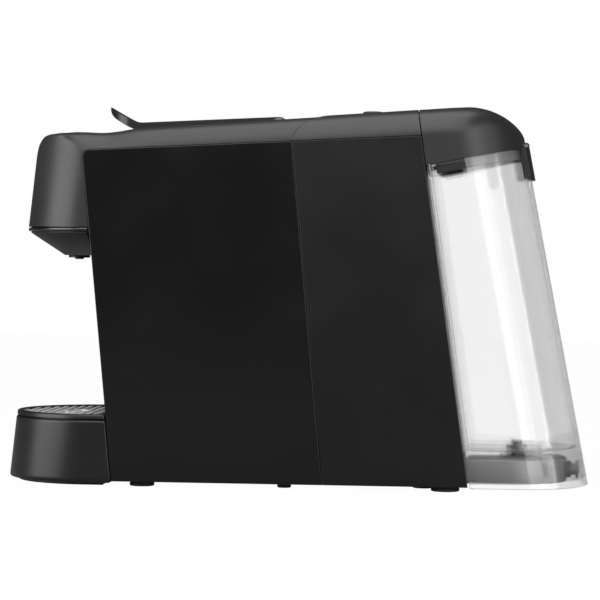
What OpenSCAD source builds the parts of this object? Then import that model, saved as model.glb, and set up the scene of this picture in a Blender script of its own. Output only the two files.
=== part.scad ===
// Pod coffee machine: a slim free-standing brewer with a top lever, a front drip tray
// drawer and a clear water tank at the back.
// Frame: front towards -Y, tank towards +Y, the machine is symmetric about X = 0,
// and it stands on Z = 0. Millimetres.

/* [Body] */
// Width over the side panels
body_w = 114; // [104:0.5:140]
// Height of the top surface above the origin
top_z = 243.2; // [236:0.5:262]
// Front of the head at its lower edge, in front of the origin
head_reach = 183.4; // [176:0.5:190]
// Front edge of the side panels at the ground, in front of the origin
column_reach = 117.3; // [114:0.5:122]
// Back edge of the side panels at the ground, behind the origin
back_reach = 115.8; // [112:0.5:119]
// Seam between front and rear side panels at the ground, behind the origin
seam_reach = 21.2; // [10:0.5:40]
// Height of the head's underside
head_z = 170; // [160:0.5:176]
// Radius of the rolled top edge
roll_r = 17; // [10:0.5:19]
// Depth of the rounded nose in plan
nose_depth = 48; // [40:0.5:50]
// Wall of the moulded covers
cover_wall = 2.4; // [1.8:0.1:3]
// Thickness of the side panels
panel_t = 2.2; // [1.6:0.1:3]
// Height of the panels' lower edge
skirt_z = 3.4; // [3:0.1:5]

/* [Angles] */
// Slope of the top towards the tank
top_slope = 3.9; // [3:0.1:4.5]
// Lean of the head's nose and of the drip tray
nose_lean = 6.1; // [5:0.1:7]
// Lean of the column's front edge
column_lean = 5.68; // [5:0.1:6.5]
// Lean of the seam between the side panels
seam_lean = 5.7; // [5:0.1:6.5]
// Lean of the back edge against the tank
back_lean = 8.2; // [7:0.1:9]
// Lean of the tank's rear wall
tank_lean = 11.1; // [10:0.1:12]

/* [Lever] */
// Width of the lever
lever_w = 50; // [44:1:56]
// Thickness of the lever's plate
lever_t = 2.6; // [2:0.1:3]
// Lever pivot behind the origin
pivot_y = -12.2; // [-16:0.1:-9]
// Depth of the lever pivot under the top surface
pivot_drop = 3.4; // [3:0.1:4]
// Radius of the lever's hinge barrel
barrel_r = 5.3; // [4.6:0.1:5.6]
// Radius of the lever shaft
shaft_r = 2.5; // [2:0.1:2.8]
// Opening angle of the lever
lever_open = 80; // [60:1:85]
// Length of the cranks on the lever shaft
crank_r = 22; // [18:0.5:24]
// Radius of the crank pins
crank_pin_r = 2.5; // [2:0.1:3]

/* [Brew group] */
// Height of the brew axis
brew_z = 196; // [192:0.5:200]
// Radius of the brew cup
cup_r = 21; // [19:0.5:22]
// Radius of the capsule pocket in the cup
pocket_r = 17; // [14:0.5:18]
// Plane where the cup meets the injector, in front of the origin
meet_y = -91; // [-96:0.5:-86]
// Length of the brew cup
cup_len = 26; // [22:0.5:30]

/* [Tray and drawer] */
// Radius of the drip tray's rounded front
tray_r = 57; // [52:0.5:60]
// Front tip of the drip tray at the ground
tray_reach = 195.0; // [190:0.5:196]
// Top of the drip tray's tub
tray_z = 43; // [36:0.5:50]
// Wall of the tray
tray_wall = 2.4; // [1.6:0.1:3]
// Height of the grille's top
grille_z = 47; // [40:0.5:56]
// Pitch of the grille's slats
slat_pitch = 5.4; // [4.8:0.1:7]
// Width of one slat
slat_w = 2.8; // [2:0.1:3.4]
// Radius of the round hole under the nozzle
splash_r = 8; // [5:0.5:10]
// Length of the capsule bin behind the column's front
bin_len = 96; // [70:1:104]
// Inner half width of the opening for the drawer
drawer_half = 46.5; // [40:0.5:47]
// Height of the drawer opening
drawer_z = 106; // [90:1:112]

/* [Tank] */
// Rear tip of the tank at the ground, behind the origin
tank_reach = 195.2; // [190:0.5:197]
// Depth of the tank's rounded back in plan
tank_nose = 46; // [40:0.5:50]
// Wall of the tank
tank_wall = 3; // [2:0.1:3.6]
// Underside of the tank's floor
floor_z = 24.6; // [24.4:0.1:28]
// Thickness of the tank's floor
floor_t = 2.2; // [2:0.1:3]
// Height of the tank rim at the front
rim_z = 211.4; // [205:0.5:214]
// Rise of the rim towards the back, in degrees
rim_slope = 11.2; // [10:0.1:12]
// Tank valve behind the origin
valve_y = 147; // [143:0.5:150]
// Radius of the valve stem
valve_r = 3.6; // [3:0.1:4]

/* [Controls] */
// Button centre behind the origin
button_y = 49; // [40:0.5:56]
// Half of the spacing between the two buttons
button_x = 12; // [9:0.5:16]
// Button cap radius
button_r = 6.7; // [5:0.1:7.5]
// Height of a button above the cover
button_up = 2.4; // [1.6:0.1:3]

/* [Clearances] */
// Gap at visible seams between fixed covers
seam_gap = 0.4; // [0.2:0.05:0.6]
// Gap between the lid and the rear cover
lid_gap = 0.7; // [0.5:0.05:1]
// Running gap round pieces that slide or lift
slide_gap = 0.5; // [0.3:0.05:0.8]
// Radial clearance of hinge pins
pin_gap = 0.05; // [0.02:0.01:0.09]

/* [Hidden] */
$fn = 64;

half_w = body_w / 2;
inner_half = half_w - panel_t;          // inside faces of the side panels
far = 400;                              // reach of cutting blocks
head_top_r = 14;                        // rounding of the head's upper front corner
panel_drop = 16.2;                      // panel edge below the top surface at the origin
panel_slope = 2.83;                     // slope of the panels' upper edge
panel_corner_r = 5;
column_wall = 2.5;

function top_at(y) = top_z + y * tan(top_slope);
function panel_top_at(y) = top_z - panel_drop + y * tan(panel_slope);
function column_at(z) = -column_reach - z * tan(column_lean);
function seam_at(z) = seam_reach - z * tan(seam_lean);
function back_at(z) = back_reach - z * tan(back_lean);
function rim_at(y) = rim_z + (y - back_at(rim_z)) * tan(rim_slope);
function nose_at(z) = -head_reach + (z - head_z) * tan(nose_lean);

// ---------------------------------------------------------------- general shapes

// A profile drawn in (Y, Z), extruded across the machine.
module across(width) {
    translate([-width / 2, 0, 0]) rotate([90, 0, 90]) linear_extrude(width) children();
}

// A half space behind a plane that leans back over the front: keeps y > y0 - z tan(lean).
module behind(y0, lean, z0 = 0) {
    across(far)
        polygon([[y0 - (z0 - 60) * tan(lean) + z0 * tan(lean), -60 + z0],
                 [y0 + 60 * tan(lean) - 320 * tan(lean), 260 + z0],
                 [far, 260 + z0], [far, -60 + z0]]);
}

// Plan with a half-ellipse towards -Y (front) and straight sides behind it.
module nose_plan(half, depth) {
    polygon(concat(
        [for (a = [0 : 5 : 180]) [half * cos(a), -depth * sin(a)]],
        [[-half, far], [half, far]]));
}

// Points of an arc about (x, y) from one angle to another.
function arc(x, y, r, from, to, steps = 8) =
    [for (i = [0 : steps]) let (a = from + (to - from) * i / steps) [x + r * cos(a), y + r * sin(a)]];

// Cross-section with two rolled upper corners, its top at the origin.
module rolled_section(half, r) {
    polygon(concat([[-half, -far]], [[half, -far]], arc(half - r, -r, r, 0, 90),
                   arc(-half + r, -r, r, 90, 180)));
}

// The block under the sloping, rolled top surface.
module rolled_block(inset) {
    translate([0, 0, top_z]) rotate([top_slope, 0, 0]) translate([0, 230, 0])
        rotate([90, 0, 0]) linear_extrude(460) translate([0, -inset])
            rolled_section(half_w - inset, max(roll_r - inset, 2));
}

// The whole body's outer form in front of the tank, inset by a wall.
module body_form(inset) {
    intersection() {
        rolled_block(inset);
        translate([0, -head_reach + nose_depth / cos(nose_lean), head_z]) rotate([-nose_lean, 0, 0])
            translate([0, 0, -far / 2]) linear_extrude(far)
                nose_plan(half_w - inset, nose_depth - inset);
        across(far) head_profile(inset);
    }
}

// Side profile of the head with its rounded upper front corner.
module head_profile(inset) {
    front = -head_reach + inset;
    r = head_top_r - inset;
    arc_z = top_at(nose_at(top_z)) - inset - r;
    arc_y = front + (arc_z - head_z) * tan(nose_lean) + r / cos(nose_lean);
    polygon(concat(
        [[far, 0], [front - head_z * tan(nose_lean), 0]],
        arc(arc_y, arc_z, r, 180 - nose_lean, 90 + top_slope),
        [[far, arc_z + r * cos(top_slope) + (far - arc_y) * tan(top_slope)]]));
}

// ---------------------------------------------------------------- side panels

corner_y = column_at(215) + panel_corner_r / cos(column_lean);
corner_z = panel_top_at(corner_y) - panel_corner_r / cos(panel_slope);

module front_panel_outline(grow) {
    offset(delta = grow)
        polygon(concat(
            [[seam_at(skirt_z) - seam_gap / 2, skirt_z], [column_at(skirt_z), skirt_z]],
            arc(corner_y, corner_z, panel_corner_r, 180 + column_lean, 90 + panel_slope, 12),
            [[seam_at(227) - seam_gap / 2, panel_top_at(seam_at(227))]]));
}

module rear_panel_outline(grow) {
    offset(delta = grow)
        polygon([[seam_at(skirt_z) + seam_gap / 2, skirt_z],
                 [seam_at(227) + seam_gap / 2, panel_top_at(seam_at(227))],
                 [back_at(231), panel_top_at(back_at(231))],
                 [back_at(skirt_z), skirt_z]]);
}

module side_plate(side) {
    translate([side * (half_w - panel_t / 2), 0, 0]) across(panel_t) children();
}

module front_panel_left() color("#1c1c1d") side_plate(-1) front_panel_outline(0);
module front_panel_right() color("#1c1c1d") side_plate(1) front_panel_outline(0);
module rear_panel_left() color("#161617") side_plate(-1) rear_panel_outline(0);
module rear_panel_right() color("#161617") side_plate(1) rear_panel_outline(0);

// ---------------------------------------------------------------- base and feet

base_t = 2.6;
rib_h = 4;
foot_x = 44;
front_foot = [-99, 8.2];                // place along Y, radius
rear_foot = [100.5, 9.4];
middle_foot = [-5, 4.6];
gland_pos = [34, 86];
gland_r = 7;
gland_bore_r = 3.6;
screw_spots = [[-30, 40], [30, 40], [-40, 88], [-36, 3], [36, 3], [18, 104]];

module foot_pair(spec, low) {
    for (s = [-1, 1]) translate([s * foot_x, spec[0], low]) {
        cylinder(r = spec[1], h = 2.2);
        translate([0, 0, 2.2]) cylinder(r = spec[1] - 1.4, h = skirt_z - 2.2 - low);
    }
}

module front_feet() color("#242425") foot_pair(front_foot, 0);
module rear_feet() color("#242425") foot_pair(rear_foot, 0);
module middle_pads() color("#242425") foot_pair(middle_foot, 0.4);

module base_plate() color("#232324") difference() {
    union() {
        across(2 * inner_half) polygon([
            [column_at(skirt_z) + 1, skirt_z], [back_at(skirt_z) - 1, skirt_z],
            [back_at(skirt_z + base_t) - 1, skirt_z + base_t],
            [column_at(skirt_z + base_t) + 1, skirt_z + base_t]]);
        // stiffening ribs behind the drawer
        for (x = [-46, 46]) translate([x - 1, 8, skirt_z]) cube([2, 90, rib_h]);
        for (y = [8, 97]) translate([-inner_half + 2, y - 1, skirt_z]) cube([2 * inner_half - 4, 2, rib_h]);
    }
    for (p = screw_spots) translate([p[0], p[1], 0]) cylinder(r = 1.6, h = 30);
    translate([gland_pos[0], gland_pos[1], 0]) cylinder(r = gland_r - 1.5, h = 30);
}

module base_screws() color("#8d8f92") for (p = screw_spots) translate([p[0], p[1], 0]) {
    translate([0, 0, skirt_z - 1.4]) cylinder(r = 3.2, h = 1.4);
    translate([0, 0, skirt_z - 1.4]) cylinder(r = 1.6, h = 9);
}

// Strain-relief bush through the base plate for the mains lead.
module cable_gland() color("#202021") translate([gland_pos[0], gland_pos[1], 0]) difference() {
    union() {
        translate([0, 0, 1]) cylinder(r = gland_r, h = skirt_z - 1);
        translate([0, 0, 1]) cylinder(r = gland_r - 1.5, h = 12);
    }
    cylinder(r = gland_bore_r, h = 30);
}

// ---------------------------------------------------------------- front and rear walls

module leaning_slab(y0, lean, t, z_low, z_high, half) {
    intersection() {
        translate([0, y0, 0]) rotate([lean, 0, 0])
            translate([-half, 0, -20]) cube([2 * half, t, 320]);
        translate([-half, -far / 2, z_low]) cube([2 * half, far, z_high - z_low]);
    }
}

supply_z = 11;                          // height of the supply hose from the tank
wall_set = 1;                           // walls sit this far inside the panels' edges

module front_wall() color("#171718") difference() {
    leaning_slab(-column_reach + wall_set, column_lean, column_wall, skirt_z + base_t, head_z - 0.6,
                 inner_half);
    translate([-drawer_half, -far / 2, 0]) cube([2 * drawer_half, far, drawer_z]);
}

module rear_wall() color("#171718") difference() {
    leaning_slab(back_reach - wall_set - column_wall, back_lean, column_wall, skirt_z + base_t,
                 panel_top_at(60), inner_half);
    // water way from the docking ring
    translate([0, back_at(14) - 20, supply_z]) rotate([-90, 0, 0]) cylinder(r = 4.5, h = 40);
}

// ---------------------------------------------------------------- covers

seam_inner_x = 42;                      // where the seam leaves the roll
seam_back = 20.3;                       // seam across the flat top

module seam_plan(shift) {
    edge_y = seam_at(227) + shift;
    polygon([[-far, -far], [-far, edge_y], [-half_w, edge_y], [-seam_inner_x, seam_back + shift],
             [seam_inner_x, seam_back + shift], [half_w, edge_y], [far, edge_y], [far, -far]]);
}

recess_half = lever_w / 2 + 1.5;
recess_depth = 1.2;
pivot_z = top_at(pivot_y) - pivot_drop;
slot_half = 19;
slot_y = [meet_y - 27.5, meet_y - 0.5];
finger_y = -125;
finger_r = 30;
finger_depth = 2;
finger_half = recess_half - 2;

module lever_recess() {
    translate([0, 0, top_z]) rotate([top_slope, 0, 0])
        translate([-recess_half, -128, -recess_depth]) cube([2 * recess_half, 128 + pivot_y + 8, 20]);
}

module hinge_ears() {
    for (s = [-1, 1]) translate([s * 33, pivot_y, 0]) {
        translate([-3, -6, pivot_z - 7]) cube([6, 12, top_at(pivot_y) - 1 - pivot_z + 7]);
    }
}

module front_cover() color("#2e2e30") difference() {
    union() {
        difference() {
            body_form(0);
            body_form(cover_wall);
        }
        intersection() {
            hinge_ears();
            body_form(1);
        }
    }
    // everything behind the seam to the rear cover
    translate([0, 0, 100]) linear_extrude(200)
        difference() {
            square(3 * far, center = true);
            seam_plan(-seam_gap / 2);
        }
    // side panels and the column below the head
    across(far) offset(delta = seam_gap) hull() {
        front_panel_outline(0);
        translate([60, 0]) front_panel_outline(0);
    }
    translate([-far / 2, -far, -10]) cube([far, 2 * far, head_z + 10]);
    lever_recess();
    // finger scoop under the lever's tip
    translate([-finger_half, finger_y, top_at(finger_y) - finger_depth + finger_r])
        rotate([0, 90, 0]) cylinder(r = finger_r, h = 2 * finger_half);
    // capsule slot and the pocket for the lever's hinge
    translate([-slot_half, slot_y[0], 200]) cube([2 * slot_half, slot_y[1] - slot_y[0], 60]);
    translate([-29.5, pivot_y - barrel_r - 1.2, pivot_z - 12])
        cube([59, 2 * barrel_r + 2.4, 30]);
    translate([-40, pivot_y, pivot_z]) rotate([0, 90, 0]) cylinder(r = shaft_r + pin_gap, h = 80);
}

module rear_cover() color("#2e2e30") difference() {
    union() {
        difference() {
            body_form(0);
            body_form(cover_wall);
        }
        // posts that carry the control board
        intersection() {
            for (x = [-26, 26], y = [board_y[0] + 4, board_y[1] - 4])
                translate([x, y, board_z]) cylinder(r = 2.5, h = 30);
            body_form(1);
        }
    }
    translate([0, 0, 100]) linear_extrude(200) seam_plan(seam_gap / 2);
    for (s = [-1, 1]) translate([s * (half_w - 7), 0, 0]) across(14) polygon([
        [-far, 0], [-far, panel_top_at(-far) + seam_gap], [far, panel_top_at(far) + seam_gap], [far, 0]]);
    translate([-far, -far, 0]) cube([2 * far, 2 * far, board_z]);
    behind(back_reach, back_lean);
    for (s = [-1, 1]) translate([s * button_x, button_y, 200])
        cylinder(r = button_r + slide_gap / 2, h = 80);
}

trim_z = [head_z - 3, head_z - seam_gap];

module head_slice(inset, z0, z1) {
    intersection() {
        body_form(inset);
        translate([-far / 2, -far, z0]) cube([far, far + column_at(head_z) - 0.6, z1 - z0]);
    }
}

// Bright band under the head, with an upstand that grips the cover's inside.
module head_trim_ring() color("#8f9194") difference() {
    union() {
        head_slice(0.3, trim_z[0], trim_z[1]);
        head_slice(cover_wall, trim_z[0], head_z + 3);
    }
    translate([0, 0, -1]) head_slice(4, trim_z[0], head_z + 6);
}

// ---------------------------------------------------------------- coffee outlet

funnel_z = 151.2;
spout_y = -149.5;

module spout_funnel() color("#1d1d1e") difference() {
    hull() {
        head_slice(2.4, trim_z[0] - 1, trim_z[0] - 0.05);
        translate([-13, spout_y - 7.6, funnel_z]) cube([26, 19, 0.4]);
    }
    hull() {
        head_slice(5, trim_z[0] - 0.9, trim_z[0] + 1);
        translate([-9, spout_y - 4.6, funnel_z + 1.6]) cube([18, 12, 0.4]);
    }
    translate([0, spout_y, funnel_z - 5]) cylinder(r = 4, h = 10);
}

module outlet_nozzle() color("#2a2a2b") difference() {
    union() {
        translate([0, spout_y, funnel_z - 1.6]) cylinder(r = 7.2, h = 1.6);
        translate([0, spout_y, funnel_z - 1.6]) cylinder(r = 3.95, h = 4);
        translate([0, spout_y, funnel_z - 2.6]) cylinder(r = 3, h = 2);
    }
    translate([0, spout_y, funnel_z - 5]) cylinder(r = 1.6, h = 12);
}

// ---------------------------------------------------------------- tank shelf and dock

shelf_half = 38;
shelf_z = [4.5, 20.6];
shelf_tip = 180.5;

module shelf_plan(inset) {
    translate([0, shelf_tip - 40]) mirror([0, 1, 0])
        polygon(concat([for (a = [0 : 6 : 180]) [(shelf_half - inset) * cos(a), -(40 - inset) * sin(a)]],
                       [[-shelf_half + inset, 40], [shelf_half - inset, 40]]));
}

module tank_shelf() color("#9a9b9d") difference() {
    intersection() {
        translate([0, 0, shelf_z[0]]) linear_extrude(shelf_z[1] - shelf_z[0]) shelf_plan(0);
        behind(back_reach - 0.9, back_lean);
    }
    intersection() {
        translate([0, 0, shelf_z[0] - 1]) linear_extrude(shelf_z[1] - shelf_z[0] - 1) shelf_plan(2);
        behind(back_reach + 2, back_lean);
    }
    translate([0, valve_y, 0]) cylinder(r = 4, h = 40);
    translate([0, 80, supply_z]) rotate([-90, 0, 0]) cylinder(r = 4.5, h = valve_y - 90);
    translate([0, shelf_tip - 10, plunger_z]) rotate([-90, 0, 0]) cylinder(r = plunger_r + 0.4, h = 20);
}

dock_r = 11;
plunger_z = 12.2;
plunger_r = 3.85;
rib_count = 28;

module dock_socket() color("#3a3b3c") {
    translate([0, valve_y, 0]) {
        difference() {
            union() {
                translate([0, 0, shelf_z[1]]) cylinder(r = dock_r - 0.7, h = floor_z - shelf_z[1] - slide_gap);
                for (i = [0 : rib_count - 1]) rotate(i * 360 / rib_count)
                    translate([dock_r - 1.2, -0.5, shelf_z[1]])
                        cube([1.2, 1, floor_z - shelf_z[1] - 1.2]);
                translate([0, 0, shelf_z[1] - 5]) cylinder(r = 3.9, h = 6);
            }
            translate([0, 0, shelf_z[1] + 1]) cylinder(r = 7, h = 20);
            for (a = [0, 120, 240]) rotate(a) translate([2.5, 0, 0]) cylinder(r = 0.9, h = 40);
        }
        // push pin that holds the tank's valve open
        translate([0, 0, shelf_z[1]]) cylinder(r = 1.2, h = floor_z - 1.4 - shelf_z[1]);
    }
}

module plunger_guide() color("#4a4b4c") translate([0, shelf_tip, plunger_z]) rotate([-90, 0, 0])
    difference() {
        translate([0, 0, 0.05]) cylinder(r = 5.6, h = 3);
        translate([0, 0, -1]) cylinder(r = plunger_r + pin_gap, h = 10);
    }

// Sprung bolt behind the shelf: stem, collar and rounded end.
module rear_plunger() color("#77787a") translate([0, 0, plunger_z]) rotate([-90, 0, 0]) {
    translate([0, 0, shelf_tip + 1]) cylinder(r = plunger_r, h = 6);
    translate([0, 0, shelf_tip + 6.4]) cylinder(r = 6.2, h = 1.4);
    translate([0, 0, shelf_tip + 7.8]) cylinder(r1 = 3.4, r2 = 2.4, h = 0.9);
}

// ---------------------------------------------------------------- lever group

lever_tip_y = -128.5;
lever_bend_y = -104.5;
lever_lift = [2.0, 3.9];                // plate top above the cover at the pivot and the bend

function lever_top(y) = top_at(y) + lever_lift[0]
    + (lever_lift[1] - lever_lift[0]) * (y - pivot_y) / (lever_bend_y - pivot_y);

module lever_profile() {
    // straight plate
    polygon([[pivot_y, lever_top(pivot_y)], [lever_bend_y, lever_top(lever_bend_y)],
             [lever_bend_y, lever_top(lever_bend_y) - lever_t],
             [pivot_y, lever_top(pivot_y) - lever_t]]);
    // turned-up tip, a short curve from the bend
    hook = [for (i = [0 : 6]) let (u = i / 6)
        [lever_bend_y + u * (lever_tip_y - lever_bend_y),
         lever_top(lever_bend_y) + 11.4 * pow(u, 1.45)]];
    under = [for (i = [6 : -1 : 0]) let (u = i / 6)
        [lever_bend_y - 0.35 * u + u * (lever_tip_y - lever_bend_y) + 0.2,
         lever_top(lever_bend_y) + 11.4 * pow(u, 1.45) - lever_t - u * 0.3]];
    polygon(concat(hook, under));
}

module lever() color("#1f1f21") difference() {
    union() {
        difference() {
            across(lever_w) lever_profile();
            // rounded tip in plan
            translate([0, lever_tip_y + 18, 180]) linear_extrude(100)
                difference() {
                    translate([-60, -40]) square([120, 40]);
                    polygon([for (a = [180 : 6 : 360]) [(lever_w / 2) * cos(a), 18 * sin(a)]]);
                }
        }
        // side flanges, tapering out towards the pivot
        for (s = [-1, 1]) translate([s * (lever_w / 2 - 0.8), 0, 0]) across(1.6)
            polygon([[lever_bend_y, lever_top(lever_bend_y) - 0.4], [-24, lever_top(-24) - 0.4],
                     [-24, lever_top(-24) - lever_t + 0.4],
                     [lever_bend_y + 3, lever_top(lever_bend_y) - 4.3],
                     [lever_bend_y - 2, lever_top(lever_bend_y) - 3]]);
        translate([-lever_w / 2, pivot_y, pivot_z]) rotate([0, 90, 0]) cylinder(r = barrel_r, h = lever_w);
    }
    translate([-40, pivot_y, pivot_z]) rotate([0, 90, 0]) cylinder(r = shaft_r, h = 80);
}

module lever_shaft() color("#a4a6a8") translate([-35.5, pivot_y, pivot_z]) rotate([0, 90, 0])
    cylinder(r = shaft_r, h = 71);

rail_x = [29.2, 32];                    // inner and outer faces of the cup's rails
crank_rest = lever_open / 2;            // crank stands this far behind straight down
pin_pos = [pivot_y + crank_r * sin(crank_rest), pivot_z - crank_r * cos(crank_rest)];

crank_x = [lever_w / 2 + 0.1, rail_x[0] - 0.3];

module lever_cranks() color("#8a8c8f") for (s = [-1, 1]) {
    difference() {
        translate([s > 0 ? crank_x[0] : -crank_x[1], 0, 0]) {
            translate([0, pivot_y, pivot_z]) rotate([0, 90, 0])
                cylinder(r = 4.6, h = crank_x[1] - crank_x[0]);
            translate([0, pin_pos[0], pin_pos[1]]) rotate([0, 90, 0])
                cylinder(r = 3.8, h = crank_x[1] - crank_x[0]);
            translate([0, pivot_y, pivot_z]) rotate([crank_rest, 0, 0])
                translate([0, -3.4, -crank_r]) cube([crank_x[1] - crank_x[0], 6.8, crank_r]);
        }
        translate([-40, pivot_y, pivot_z]) rotate([0, 90, 0]) cylinder(r = shaft_r, h = 80);
    }
    translate([s > 0 ? 27 : -rail_x[1] - 0.6, pin_pos[0], pin_pos[1]]) rotate([0, 90, 0])
        cylinder(r = crank_pin_r, h = rail_x[1] + 0.6 - 27);
}

// ---------------------------------------------------------------- brew group

cup_travel = 2 * crank_r * sin(crank_rest);
mouth_gap = 0.3;
rail_z = [207, 221];
yoke_play = 0.8;
beak_len = 30;

module brew_cup() color("#5b5d60") difference() {
    union() {
        translate([0, meet_y - mouth_gap, brew_z]) rotate([90, 0, 0]) cylinder(r = cup_r, h = cup_len);
        // outlet beak over the funnel
        translate([0, meet_y - cup_len, brew_z - 13]) rotate([90, 0, 0]) cylinder(r = 5, h = beak_len);
        translate([-rail_x[1], meet_y - mouth_gap - cup_len, brew_z - 4]) cube([2 * rail_x[1], 5, rail_z[1] - brew_z + 4]);
    }
    translate([0, meet_y, brew_z]) rotate([90, 0, 0]) cylinder(r = pocket_r, h = cup_len - 4);
    translate([0, meet_y - 10, brew_z - 13]) rotate([90, 0, 0]) cylinder(r = 2.5, h = cup_len + beak_len - 13);
    translate([0, meet_y - cup_len - beak_len + 6, brew_z - 22]) cylinder(r = 2.5, h = 9);
}

rail_front = meet_y - mouth_gap - cup_len + 5;

module cup_rails() color("#6d6f72") for (s = [-1, 1])
    translate([s * (rail_x[0] + rail_x[1]) / 2, 0, 0]) difference() {
        across(rail_x[1] - rail_x[0]) union() {
            translate([rail_front, rail_z[0]])
                square([pin_pos[0] + 8 - rail_front, rail_z[1] - rail_z[0]]);
            translate([pin_pos[0] - 8, rail_z[0]]) square([16, pin_pos[1] + 6 - rail_z[0]]);
        }
        // upright slot for the crank pin
        translate([-5, pin_pos[0] - crank_pin_r - yoke_play, pivot_z - crank_r - crank_pin_r - 0.8])
            cube([10, 2 * (crank_pin_r + yoke_play), crank_r * (1 - cos(crank_rest)) + 2 * crank_pin_r + 1.6]);
    }

inj_r = 19;

module injector_head() color("#77797c") difference() {
    union() {
        translate([0, meet_y, brew_z]) rotate([-90, 0, 0]) cylinder(r = inj_r, h = 14);
        translate([0, meet_y + 14, brew_z]) rotate([-90, 0, 0]) cylinder(r = 4, h = 12);
        for (a = [90, 210, 330])
            translate([9 * cos(a), meet_y - 3, brew_z + 9 * sin(a)]) rotate([-90, 0, 0])
                cylinder(r1 = 0.4, r2 = 1.4, h = 4);
    }
    translate([0, meet_y + 2, brew_z]) rotate([-90, 0, 0]) cylinder(r = 1.8, h = 40);
}

frame_low = 174;
frame_plate = 3;

module mechanism_frame() color("#3b3d3f") difference() {
    union() {
        for (s = [-1, 1]) {
            translate([s * 36.4, 0, 0]) across(3.6)
                polygon([[meet_y - cup_len - 6, frame_low], [meet_y - cup_len - 6, 224],
                         [22, 230], [22, frame_low]]);
            // lugs against the side panels
            for (y = [-66, 8]) translate([s > 0 ? 38 : -inner_half, y, 200])
                cube([inner_half - 38, 8, 6]);
        }
        // cross plate that carries the injector, and the plate over the heater
        translate([-38, meet_y + 6, frame_low]) cube([76, 6, 29]);
        translate([-38, heater_y - 30, frame_low]) cube([76, 54 - heater_y, frame_plate]);
    }
    translate([0, meet_y, brew_z]) rotate([-90, 0, 0]) cylinder(r = inj_r, h = 24);
    translate([0, heater_y, frame_low - 1]) cylinder(r = 8, h = frame_plate + 2);
}

chute_z = [drawer_z + 6, frame_low];

module capsule_chute() color("#29292b") difference() {
    union() {
        translate([-24, meet_y - 29, chute_z[0]]) cube([48, 30, chute_z[1] - chute_z[0]]);
        translate([-37, meet_y - 29, chute_z[1] - 2]) cube([74, 30, 2]);
    }
    translate([-22.4, meet_y - 27.4, 100]) cube([44.8, 26.8, 80]);
}

// ---------------------------------------------------------------- water system

pump_x = -24;
pump_z = 36;
heater_y = -32;

module pump() color("#a09a8c") {
    translate([pump_x - 17, 30, pump_z - 17]) cube([34, 36, 34]);
    translate([pump_x, 10, pump_z]) rotate([-90, 0, 0]) cylinder(r = 8.5, h = 76);
    translate([pump_x, 4, pump_z]) rotate([-90, 0, 0]) cylinder(r = 3.4, h = 88);
}

module pump_mounts() color("#2b2b2c") for (y = [16, 74]) translate([pump_x, y, pump_z])
    difference() {
        union() {
            rotate([-90, 0, 0]) cylinder(r = 14, h = 6);
            translate([-9, 0, 6 - pump_z]) cube([18, 6, pump_z - 14]);
        }
        translate([0, -1, 0]) rotate([-90, 0, 0]) cylinder(r = 8.5, h = 10);
    }

module heater_block() color("#a8aaac") {
    translate([0, heater_y, 122]) cylinder(r = 31, h = 36);
    translate([0, heater_y, 114]) cylinder(r = 4, h = 8);
    translate([0, heater_y, 158]) cylinder(r = 4, h = 8);
    // legs that hang the block from the frame
    for (a = [45, 135, 225, 315]) translate([34 * cos(a), heater_y + 26 * sin(a), 118])
        cylinder(r = 3, h = frame_low - 118);
}

meter_pos = [26, 60];

module flow_meter() color("#d8d4c8") translate([meter_pos[0], meter_pos[1], 0]) {
    translate([0, 0, skirt_z + base_t]) cylinder(r = 5, h = 8);
    translate([0, 0, 13]) cylinder(r = 13, h = 15);
    translate([0, 0, 28]) cylinder(r = 3.5, h = 6);
}

// A hose of straight runs with ball elbows.
module hose(points, r) {
    for (i = [0 : len(points) - 2]) {
        a = points[i];
        b = points[i + 1];
        d = b - a;
        l = norm(d);
        translate(a) rotate([0, acos(d[2] / l), atan2(d[1], d[0])]) cylinder(r = r, h = l);
        // an elbow a little fatter than the hose
        if (i > 0) translate(a) sphere(r = elbow_ratio * r);
    }
}

hose_r = 3;
elbow_ratio = 1.3;                      // ball elbows against the hose

module water_hoses() color("#c9c6bd") {
    // tank to flow meter
    hose([[0, valve_y, shelf_z[1] - 5.1], [0, valve_y, supply_z], [0, meter_pos[1] + 8, supply_z],
          [0, meter_pos[1], 20], [meter_pos[0] - 13.1, meter_pos[1], 20]], hose_r);
    // flow meter to pump
    hose([[meter_pos[0], meter_pos[1], 34.1], [meter_pos[0], meter_pos[1], 76], [pump_x, 96, 76],
          [pump_x, 96, pump_z], [pump_x, 92.1, pump_z]], hose_r);
    // pump to heater
    hose([[pump_x, 3.9, pump_z], [pump_x, 0, pump_z], [pump_x, 0, 96], [0, heater_y + 18, 106],
          [0, heater_y, 106], [0, heater_y, 113.9]], hose_r);
    // heater to injector
    hose([[0, heater_y, 166.1], [0, heater_y, 190], [0, heater_y - 6, brew_z],
          [0, meet_y + 26.1, brew_z]], hose_r);
}

// ---------------------------------------------------------------- controls

board_y = [34, 74];
board_z = top_at(board_y[0]) - 15;
board_t = 1.6;
switch_h = 3.2;

module control_board() color("#1f4a36") {
    translate([-30, board_y[0], board_z - board_t]) cube([60, board_y[1] - board_y[0], board_t]);
    for (s = [-1, 1]) translate([s * button_x - 3, button_y - 3, board_z]) cube([6, 6, switch_h]);
    translate([6, board_y[1] - 12, board_z]) cube([12, 9, 7]);
    translate([-20, board_y[1] - 12, board_z]) cube([18, 8, 5]);
}

button_travel = 1.5;
button_skirt = 6;
crown_z = top_at(button_y) + button_up;

module button(side) translate([side * button_x, button_y, 0]) {
    translate([0, 0, crown_z - button_skirt]) cylinder(r = button_r, h = button_skirt - 0.6);
    translate([0, 0, crown_z - 0.6]) cylinder(r1 = button_r, r2 = button_r - 0.6, h = 0.6);
    translate([0, 0, board_z + switch_h + button_travel + 0.3])
        cylinder(r = 2, h = crown_z - 4 - board_z - switch_h - button_travel - 0.3);
}

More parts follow.
